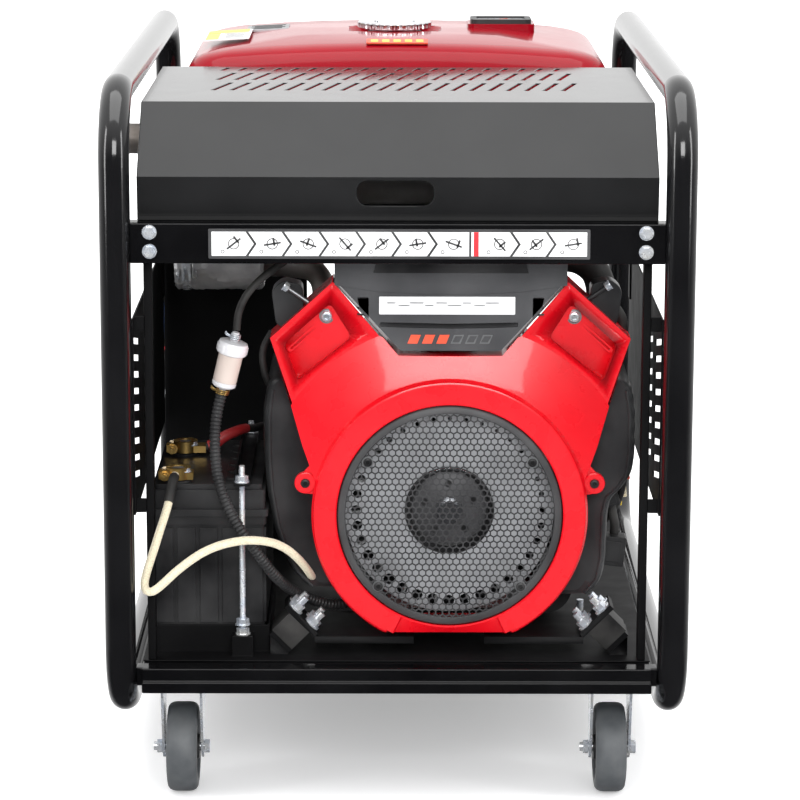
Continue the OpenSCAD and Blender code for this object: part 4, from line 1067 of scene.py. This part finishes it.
def make_hold_down():
    """Black angle across the battery, held down by two zinc rods with nuts and washers."""
    low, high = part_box("battery_hold_down")
    x = (low.x + high.x) / 2 / MM
    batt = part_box("battery")
    top = batt[1].z / MM - 16
    front, back = low.y / MM + 9, high.y / MM - 8
    bar = Shape()
    bar.slab(DECK_BLACK, WORLD, rect(18, back - front + 17, 2, (x, (front + back) / 2 - 0.5)), top + 3.5, top + 6.4)
    bar.slab(DECK_BLACK, WORLD, rect(3, back - front - 22, 0.5, (x - 7.5, (front + back) / 2)), top + 6.3, top + 18)
    bar.end("hold_down_bar", slot="frame_paint", edge=0.5)
    rods = Shape()
    foot = 186
    threaded(rods, at(x * MM, front * MM, 0), 3.5, foot, top + 25)
    threaded(rods, at(x * MM, back * MM, 0), 3.5, foot - 23, top + 20)
    for y, z in ((front, foot), (front, foot + 11), (front, top + 6.4), (back, top + 6.4)):
        spot = at(x * MM, y * MM, z * MM)
        rods.bolt(ZINC, spot, 7.2, 7.4, 8.4)
    rods.end("hold_down_rods", slot="zinc", replaces=("battery_hold_down",), angle=35)


def make_clamp_bolts():
    """Bolt, nut and cable crimp on each brass post clamp."""
    low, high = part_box("battery_clamps")
    shape = Shape()
    for y in (-0.374, -0.237):
        spot = at(low.x + 0.007, y - 0.011, high.z - 0.008, TO_VIEWER)
        shape.bolt(BRASS, spot, 5.2, 4.6, 6.2, 3)
        back = at(low.x + 0.007, y + 0.009, high.z - 0.008, TO_BACK)
        shape.bolt(ZINC, back, 5.2, 4.6, 6.2, 4)
        crimp = at(low.x + 0.031, y - 0.006, high.z - 0.0045)
        shape.bolt(ZINC, crimp, 4.6, 3.8, 6)
    shape.end("clamp_bolts", slot="brass", angle=35)


# ---------------------------------------------------------------- fuel filter, exhaust wrap
def make_fuel_filter():
    lean = Matrix.Rotation(math.radians(13.5), 3, "Y") @ Matrix.Rotation(math.radians(3), 3, "X")
    place = at(-0.196, -0.399, 0.463, lean)
    shape = Shape()
    shape.turned(FILTER_WHITE, place, [(0, 0), (4, 0), (4, 8), (11, 8), (13.4, 10), (13.8, 13), (12.6, 14.5),
                                       (0, 14.5)], 48)
    shape.turned(FILTER_CLEAR, place, [(12.4, 14), (13.4, 15), (13.7, 47), (12.8, 48.4)], 56)
    shape.turned(FILTER_WHITE, place, [(0, 46), (13.8, 46), (16.4, 47.5), (17.4, 50), (17.4, 57), (15.8, 60.6),
                                       (12, 62), (5, 62), (4, 63), (4, 72), (0, 72)], 56)
    for k in range(12):
        rib = spun(place, 30 * k)
        shape.slab(FILTER_WHITE, rib, [(17, -1.1), (17.5, -1.1), (17.5, 1.1), (17, 1.1)], 49.5, 57.5)
    shape.end("filter_body", slot="filter_clear", replaces=("fuel_filter",), angle=32)
    clips = Shape()
    for z, look in ((2.0, BRASS), (66.5, ZINC)):
        r = 5.6 if z > 10 else 7.4
        for turn in (-1.6, 0.4, 2.4):
            ring = [place @ Vector((a, b, z + turn + 0.3 * math.sin(3 * i)))
                    for i, (a, b) in enumerate(ring_points(r, 28, -150, 150))]
            clips.tube(look, ring, 0.0008, 8)
        for side in (-1, 1):
            ear = [place @ Vector((-r, side * 2, z)), place @ Vector((-r - 4, side * 3.4, z + 1)),
                   place @ Vector((-r - 6, side * 3.2, z + 3))]
            clips.tube(look, ear, 0.0009, 8)
    clips.end("filter_clips", slot="zinc", angle=50)


def crinkle(a, b, c):
    """A repeatable number from 0 to 1 for three whole numbers."""
    return math.sin(a * 12.9898 + b * 78.233 + c * 37.719) * 43758.5453 % 1.0


def make_exhaust_wrap():
    """Crinkled foil round the left pipe with its clamp, and the bare bent pipes at its ends."""
    y, z = -0.150, 0.566
    shape = Shape()
    rings = []
    count, start, stop = 30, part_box("exhaust_wrap")[0].x, -0.157
    for i in range(count):
        x = start + (stop - start) * i / (count - 1)
        squeeze = 0.86 if i in (0, count - 1) else 1.0
        if i in (4, 5):
            squeeze = 0.93
        ring = []
        for k in range(48):
            a = math.radians(7.5 * k)
            fold = 0.035 * crinkle(i // 2, k // 3, 1) + 0.03 * crinkle(i, k, 2) + 0.03 * crinkle(i // 7, k, 3)
            r = 0.0297 * squeeze * (1 - fold)
            if abs(a - math.pi * 1.2) < 0.5:
                r *= 1 - 0.05 * crinkle(i // 5, k // 2, 5)
            ring.append(Vector((x + 0.0015 * (crinkle(i, k, 4) - 0.5), y + r * math.cos(a), z + r * math.sin(a))))
        rings.append(ring)
    shape.strips(FOIL, rings)
    riser = []
    for i in range(16):
        h = 0.585 + 0.075 * i / 15
        riser.append([Vector((-0.215 + 0.0168 * (1 - 0.07 * crinkle(i, k, 6)) * math.cos(math.radians(15 * k)),
                              y + 0.0168 * (1 - 0.07 * crinkle(i, k, 7)) * math.sin(math.radians(15 * k)), h))
                      for k in range(24)])
    shape.strips(FOIL, riser)
    shape.end("foil_wrap", slot="heat_foil", replaces=("exhaust_wrap",), angle=28)
    pipe = Shape()
    bend = [(-160, -150, 566), (-130, -150, 566), (-104, -150, 562), (-92, -150, 552), (-87, -151, 538),
            (-87, -152, 515), (-87, -156, 492), (-87, -166, 479), (-87, -180, 473)]
    pipe.tube(MUFFLER_STEEL, smooth_route(bend, 0.006), 0.0138, 28)
    band = at(-0.2475, y, z, TO_RIGHT)
    pipe.turned(ZINC, band, [(28, -5), (29.6, -5), (29.9, -3), (29.9, 3), (29.6, 5), (28, 5)], 48, closed=True)
    for dx in (-4, 4):
        lug = at(-0.2475 + dx * MM, y - 0.029, z - 0.006, TO_VIEWER)
        pipe.slab(ZINC, lug, rect(3, 13, 0.8), 0, 8)
    pipe.bolt(ZINC, at(-0.240, y - 0.0335, z - 0.006, TO_RIGHT), 5.4, 4.6, 6.6)
    pipe.bolt(ZINC, at(-0.2555, y - 0.0335, z - 0.006, TO_LEFT), 4.2, 3.0, 6.2)
    pipe.end("left_exhaust_pipe", slot="muffler_steel", angle=35)


# ---------------------------------------------------------------- wheels
def make_wheels():
    """Grey tyres with rounded shoulders on spoked centres, each with its axle sleeve."""
    for name in ("wheel_front_left", "wheel_front_right", "wheel_rear_left", "wheel_rear_right"):
        low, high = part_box(name)
        middle = (low + high) / 2
        r = (high.z - low.z) / 2 / MM
        half = (high.x - low.x) / 2 / MM - 1
        place = at(*middle, TO_RIGHT)
        shape = Shape()
        half_tread = [(38, half - 1.2), (40, half), (r - 9, half), (r - 5, half - 0.7), (r - 2.2, half - 2.8),
                      (r - 0.6, half - 6.2), (r, half - 10.5)]
        tread = half_tread + [(a, -b) for a, b in reversed(half_tread)]
        shape.turned(WHEEL_GREY, place, tread + [(37, -half + 2.5), (37, half - 2.5)], 96, closed=True)
        shape.turned(BLACK_PLASTIC, place, [(37.2, half - 3), (34, half - 3.4), (33, half - 7), (17, half - 7.6),
                                            (14, half + 1), (6, half + 1), (6, -half - 1), (14, -half - 1),
                                            (17, -half + 7.6), (33, -half + 7), (34, -half + 3.4),
                                            (37.2, -half + 3)], 72)
        for k in range(6):
            spoke = spun(place, 60 * k)
            shape.slab(BLACK_PLASTIC, spoke, [(14, -2), (35, -1.6), (35, 1.6), (14, 2)], -half + 3, half - 3)
        shape.end(name + "_tyre", body=name, slot="wheel_grey", replaces=(name,), angle=32)


# ---------------------------------------------------------------- engine bay details
def make_wing_bolts():
    """Brackets, studs and nuts at the outer top of each wing of the fan shroud."""
    shape = Shape()
    zinc = Shape()
    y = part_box("fan_shroud")[0].y
    for flip, u, v in ((-1, -183, 250), (1, 175, 252)):
        place = on_engine(y + 0.036, u, v)
        bracket = [(-20 * flip, -50), (12 * flip, -40), (17 * flip, 0), (4 * flip, 11), (-18 * flip, 6)]
        shape.slab(COVER_PLASTIC, place, rounded(bracket, 7), -34, -4)
        lean = spun(moved(place, -2 * flip, 3, 2), -55 * flip)
        rod = spun(lean, 90, "X")
        zinc.turned(DULL_STEEL if flip < 0 else BLACK_PLASTIC, rod, [(0, 0), (2.6, 0), (2.6, 27), (0, 27)], 20)
        zinc.bolt(ZINC, moved(rod, 0, 0, -6), 5.2, 6, 6)
    shape.end("wing_brackets", slot="black_plastic", edge=1.2)
    zinc.end("wing_bolts", slot="zinc", angle=35)


def make_harness():
    """Looms, connectors and tags fixed to the engine beside the right and left air shrouds."""
    black = Shape()
    runs = [
        [(222, -340, 566), (240, -344, 556), (252, -346, 540), (254, -342, 520), (248, -330, 506)],
        [(243, -336, 424), (252, -342, 408), (257, -344, 384), (258, -340, 352), (252, -330, 322),
         (238, -316, 296)],
        [(232, -326, 428), (243, -334, 416), (248, -338, 392), (248, -336, 362), (244, -330, 330),
         (232, -318, 300)],
        [(252, -330, 340), (246, -332, 318), (250, -330, 292), (244, -322, 262), (226, -312, 236)],
        [(-142, -330, 520), (-152, -338, 500), (-150, -342, 474), (-140, -338, 452), (-128, -326, 436)],
        [(-112, -318, 330), (-126, -328, 318), (-136, -330, 300), (-134, -322, 276), (-118, -310, 256)],
        [(232, -262, 536), (233, -280, 560), (226, -290, 582), (208, -292, 597), (178, -290, 602)],
    ]
    for run, radius in zip(runs, (0.0062, 0.0046, 0.0036, 0.0052, 0.0040, 0.0044, 0.0170)):
        black.tube(BLACK_RUBBER, smooth_route(run, 0.004), radius, 14)
    black.end("engine_looms", slot="black_rubber", angle=50)
    parts = Shape()
    blocks = [
        (WHITE_PLASTIC, (232, -344, 399), 12, 10, 12, 8), (DULL_STEEL, (231, -342, 352), 9, 14, 9, -12),
        (WHITE_PLASTIC, (233, -343, 282), 9, 11, 9, 4), (BLACK_PLASTIC, (240, -338, 330), 26, 20, 22, 18),
        (BLACK_PLASTIC, (246, -334, 268), 30, 34, 26, -6), (BAR_ORANGE, (262, -300, 352), 10, 20, 10, 12),
        (YELLOW_PLASTIC, (256, -310, 326), 7, 24, 5, -3), (CREAM_BRAID, (260, -302, 330), 9, 16, 8, 5),
        (BLACK_PLASTIC, (235, -336, 436), 22, 20, 20, 25), (BLUE_PLASTIC, (-135, -330, 312), 10, 18, 10, 10),
        (BLACK_PLASTIC, (-134, -324, 340), 22, 30, 20, -8), (ZINC, (-118, -322, 300), 8, 8, 8, 20),
    ]
    for look, (x, y, z), w, h, d, turn in blocks:
        place = spun(at(x * MM, y * MM, z * MM, TO_VIEWER), turn)
        parts.slab(look, place, rect(w, h, 1.5), -d / 2, d / 2)
        parts.slab(look, place, rect(w * 0.7, h * 0.7, 1), d / 2, d / 2 + 1.2)
    parts.end("engine_connectors", slot="black_plastic", edge=0.6)


def make_panel_face():
    """Controls' surroundings on the left panel: sheet, screws, meter, lamps, fuse and blank labels."""
    place = at(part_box("sockets")[0].x + 0.003, 0, 0, TO_LEFT)
    shape = Shape()
    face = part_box("control_panel")[1].z / MM - 280
    shape.slab(LABEL_WHITE, place, rect(96, 14, 2, (-318, face + 262)), 0, 0.4)
    shape.slab(GRILLE_GREY, place, rect(150, 12, 2, (-150, face + 112)), 0, 0.4)
    for y in (62, 388):
        for z in (face + 12, face + 268):
            shape.screw(ZINC, moved(place, -y, z, 0), 5.5, 3)
    meter = moved(place, -120, face + 225, 0)
    shape.turned(BLACK_PLASTIC, meter, [(0, 0), (29, 0), (29, 5), (27, 7), (23.5, 7), (23, 4.5), (0, 4.5)], 56)
    shape.slab(LABEL_WHITE, meter, ring_points(23, 40), 4.4, 4.8)
    for k in range(9):
        tick = spun(meter, -60 + 30 * k)
        shape.slab(BLACK_PLASTIC, tick, rect(5, 1.2, 0, (18, 0)), 4.8, 5.0)
    shape.slab(BAR_ORANGE, spun(meter, 58), rect(20, 1.4, 0, (8, 0)), 4.9, 5.2)
    for k, look in enumerate((LABEL_RED, YELLOW_PLASTIC)):
        lamp = moved(place, -190 - 26 * k, face + 225, 0)
        shape.turned(look, lamp, [(0, 0), (7, 0), (7, 2), (5.4, 5), (0, 6)], 28)
    for k in range(3):
        fuse = moved(place, -270 - 34 * k, face + 60, 0)
        shape.turned(BLACK_PLASTIC, fuse, [(0, 0), (12, 0), (12, 3), (9.5, 4), (9, 10), (0, 10.6)], 32)
    for k in range(2):
        post = moved(place, -90 - 40 * k, face + 52, 0)
        shape.turned(LABEL_RED if k else BLACK_PLASTIC, post,
                     [(0, 0), (10, 0), (10, 4), (7, 5), (7, 16), (0, 17)], 28)
    shape.end("panel_fittings", slot="dark_grey_plastic", edge=0.4)


def make_rear_details():
    """End cover bolts and cooling fins of the alternator, and the terminal box on its top."""
    low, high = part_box("alternator_housing")
    r = (high.x - low.x) / 2 / MM
    shape = Shape()
    back = at(crank.x, high.y, crank.z, TO_BACK)
    for k in range(4):
        spot = moved(spun(back, 90 * k + 45), 118, 0, 0)
        shape.bolt(ZINC, spot, 7, 6, 9)
    shape.turned(CAST, back, [(26, -6), (40, -4), (40, 1), (36, 4), (0, 5)], 48)
    for k in range(40):
        if 15 < k < 25:
            continue
        fin = spun(at(crank.x, 0, crank.z), 9 * k, "Y")
        edge = [(-2, r - 2), (2, r - 2), (1.4, r + 3.5), (-1.4, r + 3.5)]
        slab_place = fin @ Matrix(((1, 0, 0), (0, 0, 1), (0, 1, 0))).to_4x4()
        shape.slab(CAST, slab_place, edge, -20, 250)
    shape.end("alternator_fins", slot="cast_alloy", edge=0.5)
    box = Shape()
    place = at(crank.x, 0.12, crank.z + (r + 2) * MM)
    box.slab(BLACK_PLASTIC, place, rect(90, 120, 6), 0, 34)
    box.slab(BLACK_PLASTIC, place, rect(94, 124, 6), 34, 40)
    for x in (-38, 38):
        for y in (-53, 53):
            box.screw(ZINC, moved(place, x, y, 40), 4.5, 2.6)
    box.end("terminal_box", slot="black_plastic", edge=1.0)


def make_cleaner_details():
    """Clips and ribs of the air cleaner's lid."""
    low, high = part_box("air_cleaner")
    middle = (low + high) / 2
    shape = Shape()
    for flip in (1, -1):
        for y in (-0.05, 0.05):
            clip = at(middle.x + flip * (high.x - low.x) / 2, middle.y + y, low.z + 0.016,
                      TO_RIGHT if flip > 0 else TO_LEFT)
            shape.slab(ZINC, clip, rect(16, 26, 2), 0, 2.4)
    for k in range(6):
        rib = at(middle.x + (-75 + 30 * k) * MM, low.y, low.z, TO_VIEWER)
        shape.slab(DARK_GREY, rib, rect(5, 24, 1.5, (0, 15)), -2, 1.6)
    shape.end("cleaner_clips", slot="dark_grey_plastic", edge=0.6)


# ---------------------------------------------------------------- looks of the carried CAD nodes
ROUND_EDGES = {
    "base_rails": 1.6, "deck_tray": 0.6, "cross_bars": 2.2, "uprights": 1.5, "upper_rails": 1.5,
    "side_guards": 0.5, "muffler_cover": 0.9, "crankcase": 3.0, "mount_brackets": 1.0,
    "rubber_mounts": 1.5, "caster_frames": 0.5, "rear_fork_left": 0.5, "rear_fork_right": 0.5,
    "control_panel": 1.0, "sockets": 0.8, "socket_cover": 0.8, "bolts": 0.4, "battery_clamps": 0.6,
    "battery_hold_down": 0.4, "starter_motor": 2.0, "alternator_housing": 2.0, "cylinder_heads": 2.5,
    "air_cleaner": 3.0, "oil_filter": 2.0, "choke_knob": 1.0, "breaker_toggle": 0.8,
    "ignition_key": 0.4, "muffler": 3.0, "carburettor": 1.5, "fuel_cap": 0.6, "filler_neck": 0.4,
}

NODE_LOOKS = {
    "deck_tray": DECK_BLACK, "control_panel": DECK_BLACK, "uprights": DECK_BLACK, "upper_rails": DECK_BLACK,
    "side_guards": DECK_BLACK, "mount_brackets": DECK_BLACK, "cross_bars": BAR_BLACK,
    "base_rails": BAR_BLACK, "air_cleaner": COVER_PLASTIC,
}


def finish_cad_nodes():
    """Every carried node gets its slot's material, smooth shading and small rounded edges."""
    slots = {row["node"]: row["material_slot"] for row in frame["record"]["subparts"]}
    for name, obj in nodes.items():
        obj.data.materials.clear()
        obj.data.materials.append(NODE_LOOKS.get(name, LOOKS[slots[name]]))
        for polygon in obj.data.polygons:
            polygon.use_smooth = True
            polygon.material_index = 0
        if name in ROUND_EDGES:
            weld = obj.modifiers.new("weld", "WELD")
            weld.merge_threshold = 0.00002
            round_edges(obj, ROUND_EDGES[name], 38)
        else:
            split = obj.modifiers.new("edges", "EDGE_SPLIT")
            split.split_angle = math.radians(35)


finish_cad_nodes()
make_cords()
make_fan_shroud()
make_grille()
make_flywheel()
make_intake_panel()
make_cylinder_shrouds()
make_heads()
make_tank()
make_gauge()
make_fuel_cap()
make_label_strip()
make_cover_details()
make_battery()
make_hold_down()
make_clamp_bolts()
make_fuel_filter()
make_exhaust_wrap()
make_wheels()
make_wing_bolts()
make_harness()
make_panel_face()
make_rear_details()
make_cleaner_details()


# ---------------------------------------------------------------- studio
def area_light(name, spot, aim, size, power, glossy=True):
    data = bpy.data.lights.new(name, "AREA")
    data.shape = "RECTANGLE"
    data.size, data.size_y = size
    data.energy = power
    obj = bpy.data.objects.new(name, data)
    obj.location = spot
    obj.rotation_mode = "QUATERNION"
    obj.rotation_quaternion = (Vector(aim) - Vector(spot)).to_track_quat("-Z", "Y")
    obj.visible_glossy = glossy
    obj.visible_camera = False
    scene.collection.objects.link(obj)


def make_studio():
    """A pale floor, a bright surround behind and above, a darker one on the camera's side, soft lights."""
    ground = bpy.data.meshes.new("floor")
    side, far = 30, 12
    ground.from_pydata([(-side, -side, 0), (side, -side, 0), (side, far, 0), (-side, far, 0)], [], [(0, 1, 2, 3)])
    floor = bpy.data.objects.new("floor", ground)
    scene.collection.objects.link(floor)
    s = Surface("floor", (0.86, 0.86, 0.87), 0.6)
    s.vary_color(s.noise(0.6, 3), (0.84, 0.84, 0.85), (0.88, 0.88, 0.89))
    s.put["Emission Color"].default_value = (1, 1, 1, 1)
    s.put["Emission Strength"].default_value = 0.32
    ground.materials.append(s.material)
    floor.visible_glossy = False

    world = bpy.data.worlds.new("studio")
    scene.world = world
    world.use_nodes = True
    tree = world.node_tree
    back = next(n for n in tree.nodes if n.type == "BACKGROUND")
    ramp = tree.nodes.new("ShaderNodeValToRGB")
    scaled = tree.nodes.new("ShaderNodeMapRange")
    scaled.inputs["From Min"].default_value = -1
    scaled.inputs["From Max"].default_value = 1
    lean = tree.nodes.new("ShaderNodeVectorMath")
    lean.operation = "DOT_PRODUCT"
    lean.inputs[1].default_value = (0, 0.5, 0.86)
    place = tree.nodes.new("ShaderNodeTexCoord")
    link(tree, place.outputs["Generated"], lean.inputs[0])
    link(tree, lean.outputs["Value"], scaled.inputs["Value"])
    link(tree, scaled.outputs["Result"], ramp.inputs["Fac"])
    link(tree, ramp.outputs["Color"], back.inputs["Color"])
    ramp.color_ramp.elements[0].position = 0.32
    ramp.color_ramp.elements[0].color = (0.03, 0.03, 0.033, 1)
    ramp.color_ramp.elements[1].position = 0.74
    ramp.color_ramp.elements[1].color = (1.0, 1.0, 1.0, 1)
    back.inputs["Strength"].default_value = 1.25

    area_light("overhead", (0, -0.6, 3.2), (0, -0.2, 0.5), (3.0, 2.4), 64)
    area_light("left_strip", (-2.6, -1.6, 1.3), (0, -0.1, 0.45), (0.5, 2.2), 26)
    area_light("right_strip", (2.6, -1.6, 1.3), (0, -0.1, 0.45), (0.5, 2.2), 26)
    area_light("front_fill", (0.2, -4.4, 2.2), (0, 0, 0.42), (2.6, 1.4), 110)
    area_light("far_floor", (0, 6.5, 4.0), (0, 7.5, 0), (10, 6), 420, glossy=False)
    scene.view_settings.view_transform = "Standard"


make_studio()
